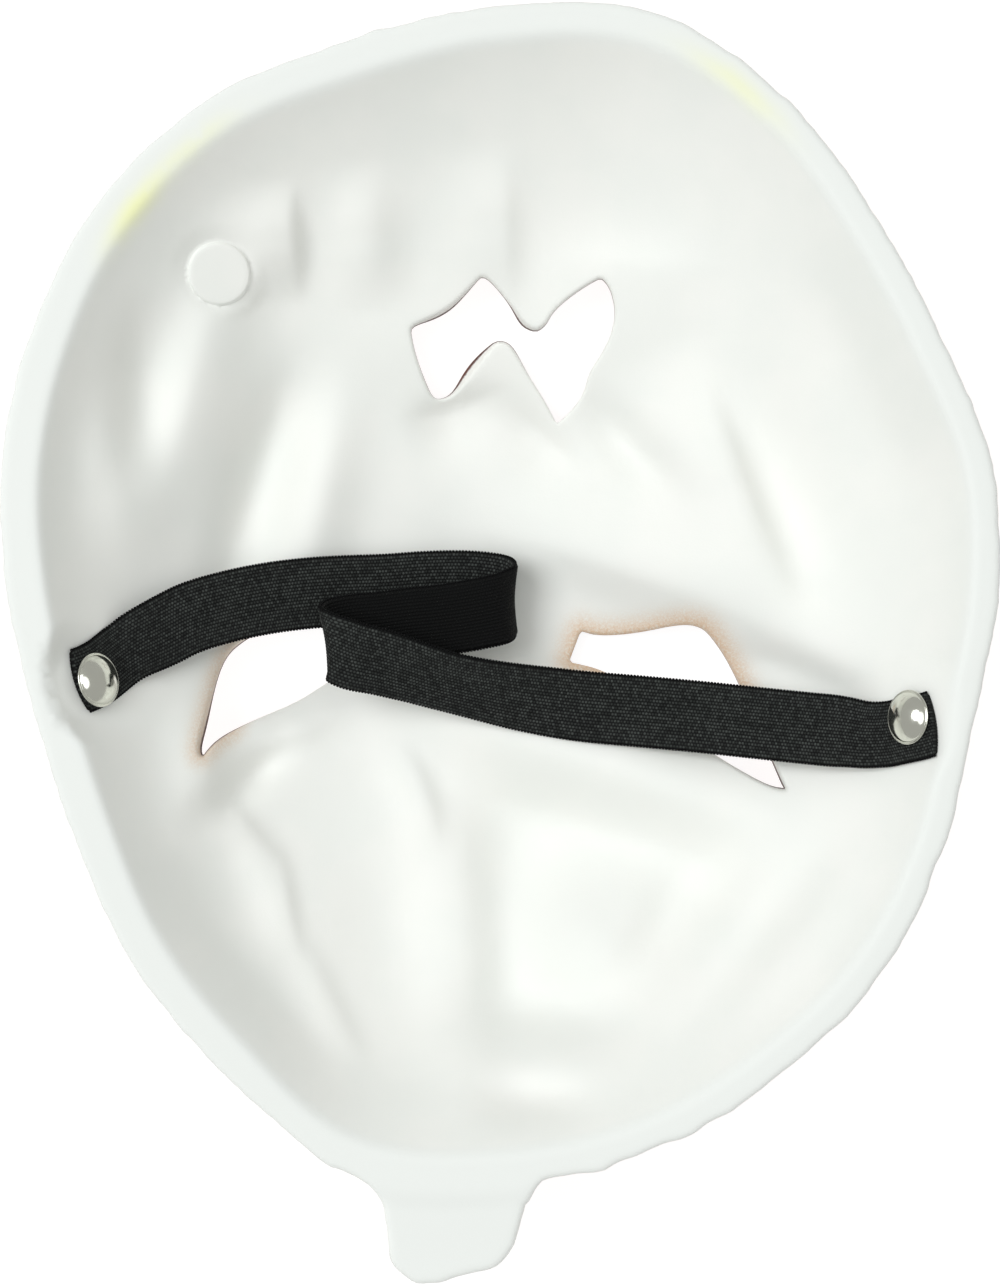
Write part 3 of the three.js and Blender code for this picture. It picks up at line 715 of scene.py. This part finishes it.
def makeShell():
    places, faces, sizes, outline, cuts = makePlan()
    x, y = places.T
    edge = distanceTo(places, outline, 0.004)
    cut = np.min([distanceTo(places, loop, 0.006) for loop in cuts], axis=0)
    rimCount = sizes[0]
    edge[:rimCount] = 0
    cut[rimCount : sum(sizes)] = 0
    back = backHeight(x, y, edge, cut)
    front = np.minimum(frontHeight(x, y, cut), back)
    points = np.column_stack([x, y, back])
    frontPoints = np.column_stack([x, y, front])
    frontPoints[rimCount : sum(sizes), :2] = np.vstack([leaned(loop) for loop in cuts])
    # points are numbered back first, then front without the rim's, then those inside the cuts
    count = len(points)
    frontIndex = np.arange(count) + count - rimCount
    frontIndex[:rimCount] = np.arange(rimCount)  # back and front meet along the rim
    vertices = [points, frontPoints[rimCount:]]
    triangles = [faces, frontIndex[faces[:, ::-1]]]
    total = 2 * count - rimCount
    first = rimCount
    quads = []
    for size in sizes[1:]:
        ids = np.arange(first, first + size)
        rows = [ids]
        for share, _ in spray["creep"]:  # rows of points inside the cut, so that it can show paint
            vertices.append(points[ids] * (1 - share) + frontPoints[ids] * share)
            rows.append(np.arange(total, total + size))
            total += size
        rows.append(frontIndex[ids])
        for upper, lower in zip(rows, rows[1:]):
            quads += list(zip(upper, np.roll(upper, -1), np.roll(lower, -1), lower))
        first += size
    vertices = np.vstack(vertices)
    piece = newPiece("foam_shell_casting", vertices, [*triangles[0], *triangles[1], *quads])
    isFront = np.zeros(len(vertices))
    wallStart = 2 * count - rimCount
    isFront[count:wallStart] = 1
    for size in sizes[1:]:
        for _, painted in spray["creep"]:
            isFront[wallStart : wallStart + size] = painted
            wallStart += size
    addPaintValues(piece, vertices, isFront, cuts, outline)
    return piece


# Where the paint went, as values on the surface that the material reads
spray = {
    "creep": ((0.33, 0.2), (0.67, 0.5)),  # share of the way through a cut, how much paint shows there
    "rimCreep": 0.2,  # how much shows on the very edge of the rim
    "rimCreepReach": 0.0004,
    "deepFold": 0.006,  # a fold this high takes the full dark wash
    "rimShadeDepth": 0.003,  # the rim top's painted shade, a slightly darker white, ends this far down
    "cutReach": 0.012,  # the wash darkens towards the openings within this
    "stalkFrom": 0.112,  # the stem's olive begins this far down, and over what distance
    "stalkFade": 0.006,
    "dustReach": {"rightEye": 0.0035, "leftEye": 0.0025},  # thin overspray beside the openings
    "leftDust": 0.7,
    # yellow-green stain beside the rim: degrees round, spread, distance from the rim, width, strength
    "lime": ((133, 4.5, 0.0072, 0.0024, 1), (124, 5, 0.0062, 0.0022, 0.45), (65, 5.5, 0.0048, 0.0022, 0.6)),
}


def oversprayDust(x, y, cuts):  # above and beside the right eye, and at the outer end of the left one
    loops = dict(zip(openings, cuts))
    right, left = (
        np.exp(-((distanceTo(np.column_stack([x, y]), loops[eye], 0.02) / spray["dustReach"][eye]) ** 2))
        for eye in ("rightEye", "leftEye")
    )
    above = smoothStep((y + 0.016 - 0.18 * (x - 0.03)) / 0.012)  # over a line that climbs to the right
    outer = smoothStep((x - 0.045) / 0.006) * smoothStep((y + 0.02) / 0.01)
    outerLeft = smoothStep((-x - 0.055) / 0.006)
    return np.maximum(right * np.maximum(above, outer), spray["leftDust"] * left * outerLeft)


def addPaintValues(piece, vertices, isFront, cuts, outline):
    x, y, z = vertices.T
    spots = vertices[:, :2]
    rimGap = distanceTo(spots, outline, 0.014)
    cutGap = np.min([distanceTo(spots, loop, spray["cutReach"]) for loop in cuts], axis=0)
    turn = np.degrees(np.arctan2(y - shell["middle"][1], x - shell["middle"][0]))
    lime = 0
    for at, spread, gapTo, width, strength in spray["lime"]:
        lime = lime + strength * np.exp(-(((turn - at) / spread) ** 2) - ((rimGap - gapTo) / width) ** 2)
    edge = spray["rimCreep"] * np.exp(-rimGap / spray["rimCreepReach"])
    addValues(piece, "paint", np.maximum(isFront, edge))
    addValues(piece, "hollow", foldRise(x, y) / spray["deepFold"])
    # painted shade on the rim's top: 1 at the top, fading out a few millimetres lower
    addValues(piece, "rim", smoothStep((z - rimTop(x, y)) / spray["rimShadeDepth"] + 1))
    addValues(piece, "cutGap", cutGap / spray["cutReach"])
    addValues(piece, "stalk", smoothStep((-y - spray["stalkFrom"]) / spray["stalkFade"]))
    addValues(piece, "overspray", oversprayDust(x, y, cuts))
    addValues(piece, "lime", lime)


# Latex foam: moulded, matt and chalky white inside; sprayed orange with a dark wash in the hollows outside

foam = {
    "white": "#EEEEEA",
    "shade": "#EBECE8",
    # painted shade: the rim's top faces the lights, so it takes a slightly darker white
    "rim": "#E8EAE7",
    "dust": "#D9B795",  # thin overspray round the eyes
    "lime": "#EEF0BE",
    "orange": "#DE6F1B",
    "deepOrange": "#BE5512",
    "wash": "#4A1C0B",
    "stalk": "#6B6A32",
    "roughness": 0.72,
    # size in millimetres, detail and roughness of each uneven pattern
    "patterns": {
        "clouds": (24, 2, 0.5),  # faint shading of the bare foam
        "limeBlotches": (6, 2, 0.5),
        "dustSpecks": (0.5, 3, 0.8),
        "mottle": (14, 4, 0.5),  # of the orange
        "washStreaks": (5, 3, 0.5),
        "raggedEdge": (0.9, 3, 0.7),  # where the paint ends
        "swell": (7, 2, 0.5),  # the moulding's low unevenness
        "grain": (0.45, 3, 0.6),  # foam skin, drawn coarser than its real pores so that it shows
    },
    # where each pattern or value starts to count, and where it counts in full
    "ranges": {
        "clouds": (0.35, 0.65),
        "limeBlotches": (0.1, 0.5),
        "dustSpecks": (0.1, 0.7),
        "mottle": (0.35, 0.8),
        "darkWash": (0.55, 1.35),
        "cutGap": (0.35, 0.05),
        "painted": (0.45, 0.75),
    },
    "swellDepth": 0.0001,
    "grainDepth": 0.00004,
}


def latexFoam():
    material, tree, shader = newMaterial("latexFoam", Roughness=foam["roughness"], IOR=1.45)
    place = addNode(tree, "ShaderNodeTexCoord").outputs["Object"]
    mask = {}
    for name in ("paint", "hollow", "rim", "cutGap", "stalk", "overspray", "lime"):
        mask[name] = addNode(tree, "ShaderNodeAttribute", attribute_name=name).outputs["Fac"]
    for name, (size, detail, roughness) in foam["patterns"].items():
        links = {"Vector": place, "Scale": 1 / (size * mm), "Detail": detail, "Roughness": roughness}
        mask[name] = addNode(tree, "ShaderNodeTexNoise", links).outputs["Fac"]
    streaked = {0: mask["hollow"], 1: mask["washStreaks"]}
    mask["darkWash"] = addNode(tree, "ShaderNodeMath", streaked, operation="ADD").outputs[0]
    ragged = {0: mask["raggedEdge"], 1: 0.35, 2: mask["paint"]}
    mask["painted"] = addNode(tree, "ShaderNodeMath", ragged, operation="MULTIPLY_ADD").outputs[0]
    for name, (low, high) in foam["ranges"].items():
        links = {"Value": mask[name], "From Min": low, "From Max": high}
        node = addNode(tree, "ShaderNodeMapRange", links, interpolation_type="SMOOTHSTEP")
        mask[name] = node.outputs["Result"]
    for name, pattern in (("lime", "limeBlotches"), ("overspray", "dustSpecks")):
        links = {0: mask[name], 1: mask[pattern]}
        mask[name] = addNode(tree, "ShaderNodeMath", links, operation="MULTIPLY").outputs[0]
    coats = {
        # the rim coat is painted shade on the rim's top
        "white": (("clouds", "shade"), ("rim", "rim"), ("lime", "lime"), ("overspray", "dust")),
        "orange": (("mottle", "deepOrange"), ("darkWash", "wash"), ("cutGap", "wash"), ("stalk", "stalk")),
    }
    sides = []
    for base, layers in coats.items():
        colour = foam[base]
        for name, coat in layers:
            links = {0: mask[name], 6: colour, 7: foam[coat]}  # factor and the two colours
            colour = addNode(tree, "ShaderNodeMix", links, data_type="RGBA").outputs[2]
        sides.append(colour)
    both = addNode(tree, "ShaderNodeMix", {0: mask["painted"], 6: sides[0], 7: sides[1]}, data_type="RGBA")
    tree.links.new(both.outputs[2], shader.inputs["Base Color"])
    links = {"Height": mask["swell"], "Distance": foam["swellDepth"], "Strength": 0.5}
    swell = addNode(tree, "ShaderNodeBump", links).outputs["Normal"]
    links = {"Height": mask["grain"], "Distance": foam["grainDepth"], "Strength": 0.5, "Normal": swell}
    tree.links.new(addNode(tree, "ShaderNodeBump", links).outputs["Normal"], shader.inputs["Normal"])
    return material


# Flat braided elastic: matt, near black yarn in rows of small loops; painted highlights on some, painted
# shade between

elastic = {
    "width": 0.016,
    "thickness": 0.0014,
    "edge": 0.0005,
    "ribs": 20,
    "ribHeight": 0.0001,
    "pinch": 0.09,  # the rivets gather the band by this share
    "gripReach": 0.022,  # the band lies in its seat's plane near the rivet, and hangs free beyond this
    "gripFade": 0.012,
    "bowLength": 0.005,  # over which the cut end's bulge evens out
    "twist": {"middle": 0.191, "reach": 0.026, "angle": 36},  # where the band turns about its own line
    "stepsPerPoint": 8,
    # middle line between the seats, as the band falls into the bowl and folds back twice
    "route": (
        (-0.0806, 0.0001, 0.0356), (-0.0755, 0.0028, 0.0322), (-0.0694, 0.0059, 0.0289),
        (-0.0617, 0.0083, 0.0253), (-0.0536, 0.0101, 0.0221), (-0.0453, 0.0113, 0.0191),
        (-0.0364, 0.0120, 0.0163), (-0.0262, 0.0124, 0.0141), (-0.0159, 0.0131, 0.0129),
        (-0.0058, 0.0131, 0.0125), (0.0004, 0.0121, 0.0141), (0.0027, 0.0102, 0.0181),
        (0.0006, 0.0082, 0.0223), (-0.0054, 0.0067, 0.0241), (-0.0136, 0.0054, 0.0244),
        (-0.0202, 0.0047, 0.0246), (-0.0270, 0.0038, 0.0247), (-0.0332, 0.0032, 0.0251),
        (-0.0370, 0.0023, 0.0268), (-0.0386, 0.0008, 0.0301), (-0.0370, -0.0008, 0.0333),
        (-0.0333, -0.0025, 0.0341), (-0.0268, -0.0041, 0.0331), (-0.0202, -0.0060, 0.0314),
        (-0.0117, -0.0085, 0.0291), (0.0020, -0.0115, 0.0259), (0.0090, -0.0127, 0.0248),
        (0.0183, -0.0140, 0.0241), (0.0318, -0.0152, 0.0245), (0.0450, -0.0164, 0.0265),
        (0.0585, -0.0178, 0.0300), (0.0695, -0.0189, 0.0339), (0.0769, -0.0196, 0.0371),
        (0.0817, -0.0202, 0.0393),
    ),
    "gap": "#020203",  # painted shade between the yarns
    "yarn": "#0A0B0A",
    "glint": "#696E6B",  # painted highlight: lit loops of the face side
    "glintLeast": 0.12,
    "glintMost": 0.7,
    "fibreSize": 0.3846,  # millimetres, coarser than real fibres so that they show
    "reliefDepth": 0.0002,
    "picotPitch": 0.00073,
    "picotReach": 0.00035,
    "picotLength": 0.00039,
    "picotWidth": 0.00038,
}
clearance = 0.0003  # between the band and what it touches


def seatMatrix(seat):
    turn, tilt = (math.radians(angle) * seat["side"] for angle in (seat["turn"], seats["tilt"]))
    return Matrix.Translation(seat["at"]) @ Matrix.Rotation(turn, 4, "Z") @ Matrix.Rotation(tilt, 4, "Y")


def strapPoints():
    height = clearance + elastic["thickness"] / 2
    ends = []
    for seat in (seats["left"], seats["right"]):
        line = [Vector((seat["side"] * along, across, height)) for along, across in seat["strapLine"]]
        ends.append([seatMatrix(seat) @ point for point in line])
    return [*ends[0], *(Vector(p) for p in elastic["route"]), *ends[1]]


def strapPath():  # centripetal curve through the points
    points = strapPoints()
    ends = [2 * points[0] - points[1], *points, 2 * points[-1] - points[-2]]
    steps = elastic["stepsPerPoint"]
    path = []
    for k in range(1, len(ends) - 2):
        p0, p1, p2, p3 = ends[k - 1 : k + 3]
        d0, d1, d2 = ((b - a).length ** 0.5 for a, b in ((p0, p1), (p1, p2), (p2, p3)))
        t1 = ((p1 - p0) / d0 - (p2 - p0) / (d0 + d1) + (p2 - p1) / d1) * d1
        t2 = ((p2 - p1) / d1 - (p3 - p1) / (d1 + d2) + (p3 - p2) / d2) * d1
        for t in (step / steps for step in range(steps)):
            path.append(p1 + t1 * t + (3 * (p2 - p1) - 2 * t1 - t2) * t**2 + (2 * (p1 - p2) + t1 + t2) * t**3)
    path.append(points[-1])
    return path


def nearSeat(point, seat):  # 1 on the seat, 0 well away from it
    away = (point - Vector(seat["at"])).length
    return float(smoothStep((elastic["gripReach"] - away) / elastic["gripFade"]))


def pinched(point):
    return 1 - elastic["pinch"] * max(nearSeat(point, seats["left"]), nearSeat(point, seats["right"]))


def strapFrames(path):  # along, across and upward directions at each point of the path
    frames = []
    twist = elastic["twist"]
    gone = 0
    for k, point in enumerate(path):
        gone += (point - path[max(k - 1, 0)]).length
        angle = math.radians(twist["angle"]) * math.exp(-(((gone - twist["middle"]) / twist["reach"]) ** 2))
        along = (path[min(k + 1, len(path) - 1)] - path[max(k - 1, 0)]).normalized()
        across = Vector((0, 1, 0)) - along * along.y
        for seat in (seats["left"], seats["right"]):
            flat = (seatMatrix(seat).to_3x3() @ Vector((0, 0, 1))).cross(along)
            across = across.normalized().lerp(flat, nearSeat(point, seat))
        across.normalize()
        across.rotate(Matrix.Rotation(angle, 3, along))
        frames.append((along, across, along.cross(across)))
    return frames


def strapSection():  # ribs along both faces, thin edges
    half = elastic["width"] / 2 - 0.5 * elastic["picotReach"]
    inner = half - elastic["edge"]
    perRib = 6
    count = elastic["ribs"] * perRib
    face = []
    for k in range(count + 1):
        w = -inner + 2 * inner * k / count
        rib = abs(math.sin(math.pi * elastic["ribs"] * k / count)) ** 0.7
        face.append((w, elastic["thickness"] / 2 - elastic["ribHeight"] * (1 - rib)))
    lower = [(w, -h) for w, h in face]
    return [(-half, 0), *lower, (half, 0), *reversed(face)]


def makeStrap():
    path = strapPath()
    frames = strapFrames(path)
    section = strapSection()
    size = len(section)
    lengths = np.cumsum([0] + [(b - a).length for a, b in zip(path, path[1:])])
    half = elastic["width"] / 2
    reach = elastic["bowLength"]
    points = []
    for middle, (along, across, up), gone in zip(path, frames, lengths):
        bow = seats["right"]["endBow"] * max(1 - (lengths[-1] - gone) / reach, 0)
        bow -= seats["left"]["endBow"] * max(1 - gone / reach, 0)
        for w, h in section:
            bulge = along * bow * (1 - (w / half) ** 2)
            points.append(middle + across * w * pinched(middle) + up * h + bulge)
    piece = newPiece("elastic_strap_band", points, ringFaces(len(path), size))
    uv = piece.data.uv_layers.new(name="UVMap")
    corners = np.zeros(len(piece.data.loops), int)
    piece.data.loops.foreach_get("vertex_index", corners)
    row, column = np.divmod(corners, size)
    widths = np.array([w for w, _ in section])
    addValues(piece, "face", [h > 0 for _, h in section] * len(path))
    uv.data.foreach_set("uv", np.column_stack([lengths[row], widths[column]]).astype(np.float32).ravel())
    return piece, path, frames, lengths[-1]


def braidedElastic():
    material, tree, shader = newMaterial("braidedElastic", Roughness=0.8, IOR=1.5, Specular_IOR_Level=0.16)
    uv = addNode(tree, "ShaderNodeUVMap", uv_map="UVMap").outputs["UV"]
    split = addNode(tree, "ShaderNodeSeparateXYZ", {"Vector": uv})
    cell = addNode(tree, "ShaderNodeCombineXYZ")
    chance = addNode(tree, "ShaderNodeTexWhiteNoise", {"Vector": cell.outputs["Vector"]})
    links = {"Vector": uv, "Scale": 1 / (elastic["fibreSize"] * mm), "Detail": 2}
    fibre = addNode(tree, "ShaderNodeTexNoise", links)
    value = {
        "along": split.outputs["X"],
        "across": split.outputs["Y"],
        "chance": chance.outputs["Value"],
        "fibre": fibre.outputs["Fac"],
        "face": addNode(tree, "ShaderNodeAttribute", attribute_name="face").outputs["Fac"],
    }
    ribWidth = (elastic["width"] - 2 * elastic["edge"]) / elastic["ribs"]
    for name, operation, *items in (
        ("column", "MULTIPLY_ADD", "across", 1 / ribWidth, 50),  # 50 keeps the numbers above 0
        ("columnNumber", "FLOOR", "column"),
        ("stagger", "MULTIPLY", "columnNumber", 0.5),
        ("stitch", "MULTIPLY_ADD", "along", 1 / elastic["picotPitch"], "stagger"),
        ("stitchNumber", "FLOOR", "stitch"),
        ("overColumn", "FRACT", "column"),
        ("columnTurn", "MULTIPLY", "overColumn", math.pi),
        ("columnHump", "SINE", "columnTurn"),
        ("overStitch", "FRACT", "stitch"),
        ("stitchTurn", "MULTIPLY", "overStitch", math.pi),
        ("stitchHump", "SINE", "stitchTurn"),
        ("loop", "MULTIPLY", "columnHump", "stitchHump"),  # 1 on top of each loop, 0 between them, where the painted shade goes
        ("sparkle", "MULTIPLY", "chance", "fibre"),
        ("shine", "MULTIPLY_ADD", "sparkle", elastic["glintMost"], elastic["glintLeast"]),
        ("faceLoop", "MULTIPLY", "loop", "face"),
        ("lit", "MULTIPLY", "shine", "faceLoop"),
        ("relief", "MULTIPLY_ADD", "fibre", 0.3, "loop"),
    ):
        links = {k: value.get(item, item) for k, item in enumerate(items)}
        value[name] = addNode(tree, "ShaderNodeMath", links, operation=operation).outputs[0]
    tree.links.new(value["columnNumber"], cell.inputs["X"])
    tree.links.new(value["stitchNumber"], cell.inputs["Y"])
    # the colour: painted shade between the loops, then painted highlights on lit loops of the face side
    colour = elastic["gap"]
    for name, tone in (("loop", "yarn"), ("lit", "glint")):
        links = {0: value[name], 6: colour, 7: elastic[tone]}  # factor and the two colours
        colour = addNode(tree, "ShaderNodeMix", links, data_type="RGBA").outputs[2]
    tree.links.new(colour, shader.inputs["Base Color"])
    links = {"Height": value["relief"], "Distance": elastic["reliefDepth"], "Strength": 0.8}
    tree.links.new(addNode(tree, "ShaderNodeBump", links).outputs["Normal"], shader.inputs["Normal"])
    return material


# Looped edges of the elastic


def picotTree():
    tree = bpy.data.node_groups.new("picotEdge", "GeometryNodeTree")
    sockets = tree.interface
    sockets.new_socket("Geometry", in_out="INPUT", socket_type="NodeSocketGeometry")
    for name, item in (("Pitch", "picotPitch"), ("Loop Length", "picotLength"), ("Loop Width", "picotWidth")):
        socket = sockets.new_socket(name, in_out="INPUT", socket_type="NodeSocketFloat")
        socket.default_value = elastic[item]
    sockets.new_socket("Material", in_out="INPUT", socket_type="NodeSocketMaterial")
    sockets.new_socket("Geometry", in_out="OUTPUT", socket_type="NodeSocketGeometry")
    start = tree.nodes.new("NodeGroupInput")
    curve = addNode(tree, "GeometryNodeMeshToCurve", {"Mesh": start.outputs["Geometry"]})
    links = {"Curve": curve.outputs["Curve"], "Length": start.outputs["Pitch"]}
    spots = addNode(tree, "GeometryNodeCurveToPoints", links, mode="LENGTH")
    bead = addNode(tree, "GeometryNodeMeshIcoSphere", {"Radius": 1, "Subdivisions": 1})
    width, length = start.outputs["Loop Width"], start.outputs["Loop Length"]
    size = addNode(tree, "ShaderNodeCombineXYZ", {"X": width, "Y": width, "Z": length})
    links = {
        "Points": spots.outputs["Points"],
        "Instance": bead.outputs["Mesh"],
        "Rotation": spots.outputs["Rotation"],
        "Scale": size.outputs["Vector"],
    }
    copies = addNode(tree, "GeometryNodeInstanceOnPoints", links)
    real = addNode(tree, "GeometryNodeRealizeInstances", {"Geometry": copies.outputs["Instances"]})
    links = {"Geometry": real.outputs["Geometry"], "Material": start.outputs["Material"]}
    dressed = addNode(tree, "GeometryNodeSetMaterial", links)
    addNode(tree, "NodeGroupOutput", {"Geometry": dressed.outputs["Geometry"]})
    return tree


def grown(piece, tree, values):  # runs a node tree on a piece and keeps the result as a plain mesh
    modifier = piece.modifiers.new(tree.name, "NODES")
    modifier.node_group = tree
    for item in tree.interface.items_tree:
        if item.in_out == "INPUT" and item.name in values:
            modifier[item.identifier] = values[item.name]
    depsgraph = bpy.context.evaluated_depsgraph_get()
    mesh = bpy.data.meshes.new_from_object(piece.evaluated_get(depsgraph))
    piece.modifiers.remove(modifier)
    piece.data = mesh
    return piece


def makePicots(path, frames, material):
    reach = elastic["width"] / 2 - 0.5 * elastic["picotReach"]
    points, edges = [], []
    for side in (-1, 1):
        first = len(points)
        for middle, (_, across, _) in zip(path, frames):
            points.append(middle + across * side * reach * pinched(middle))
        edges += [(k, k + 1) for k in range(first, len(points) - 1)]
    piece = newPiece("elastic_strap_picots", points, [], edges)
    grown(piece, picotTree(), {"Pitch": elastic["picotPitch"], "Material": material})
    piece.data.shade_smooth()
    return piece


# Cap rivets: nickel plate on pressed metal, so smooth domes that mirror the room and are faintly blotched

cap = {
    "brimRadius": 0.0061,
    "brimLip": 0.00022,  # radius of its rolled edge
    "domeRadius": 0.0056,
    "domeHeight": 0.0026,
    "shankRadius": 0.0016,
    "clampedFoam": 0.0052,
    "outerRadius": 0.005,  # of the flatter cap on the painted side
    # the flatter cap's profile: share of its radius, height over its foot
    "outerProfile": ((0.3, 0.0016), (0.7, 0.00135), (0.95, 0.0008), (1, 0.0004), (1, 0.0001), (0.98, 0)),
    "segments": 72,
    "nickel": "#D8D8CE",
    "blotchSize": 1.4286,  # millimetres
    "polish": (0.08, 0.2),  # roughness of the brightest and the dullest blotches
}


def lathe(name, profile, segments, matrix):
    points = []
    for r, h in profile:
        for k in range(segments):
            turn = math.tau * k / segments
            points.append(matrix @ Vector((r * math.cos(turn), r * math.sin(turn), h)))
    return newPiece(name, points, ringFaces(len(profile), segments))


def makeRivet(name, seat):
    base = elastic["thickness"] + 2 * clearance
    under = -cap["clampedFoam"] - clearance
    profile = [(share * cap["outerRadius"], under - high) for share, high in cap["outerProfile"]]
    profile += [(cap["shankRadius"], under), (cap["shankRadius"], base)]
    lip, dome = cap["brimLip"], cap["domeRadius"]
    brim, top = cap["brimRadius"] - lip, base + 2 * lip
    for k in range(9):  # the brim's rolled edge
        turn = -math.pi / 2 + math.pi * k / 8
        profile.append((brim + lip * math.cos(turn), base + lip + lip * math.sin(turn)))
    profile += [(dome + 0.0002, top - 0.00006), (dome, top)]  # a fine groove round the dome
    for k in range(1, 14):
        turn = math.pi / 2 * k / 14
        profile.append((dome * math.cos(turn), top + cap["domeHeight"] * math.sin(turn) ** 1.4))
    return lathe(name, profile, cap["segments"], seatMatrix(seat))


def nickelPlate():
    material, tree, shader = newMaterial("nickelPlate", Metallic=1.0, Roughness=0.12)
    place = addNode(tree, "ShaderNodeTexCoord").outputs["Object"]
    links = {"Vector": place, "Scale": 1 / (cap["blotchSize"] * mm), "Detail": 3}
    blotch = addNode(tree, "ShaderNodeTexNoise", links).outputs["Fac"]
    bright, dull = cap["polish"]
    links = {"Value": blotch, "From Min": 0.3, "From Max": 0.7, "To Min": bright, "To Max": dull}
    tree.links.new(addNode(tree, "ShaderNodeMapRange", links).outputs["Result"], shader.inputs["Roughness"])
    shader.inputs["Base Color"].default_value = linearColor(cap["nickel"])
    return material


# Making

makeCamera()
print("camera set")

strap, strapLine, strapTurns, strapLength = makeStrap()
braid = braidedElastic()
strap.data.materials.append(braid)
picots = makePicots(strapLine, strapTurns, braid)
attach(strap, "root")
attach(picots, "root")
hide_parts("elastic_strap")
print(f"elastic strap made, {strapLength / mm:.0f} mm long")

casting = makeShell()
casting.data.materials.append(latexFoam())
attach(casting, "root")
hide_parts("foam_shell")
print(f"foam casting made, {len(casting.data.polygons)} faces")

for rivetName, rivetSeat in (("rivet_left", seats["left"]), ("rivet_right", seats["right"])):
    rivet = makeRivet(rivetName + "_cap", rivetSeat)
    rivet.data.materials.append(nickelPlate())
    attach(rivet, "root")
    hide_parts(rivetName)
print("rivets made")

makeLight()
makeFloor()
print("studio made")
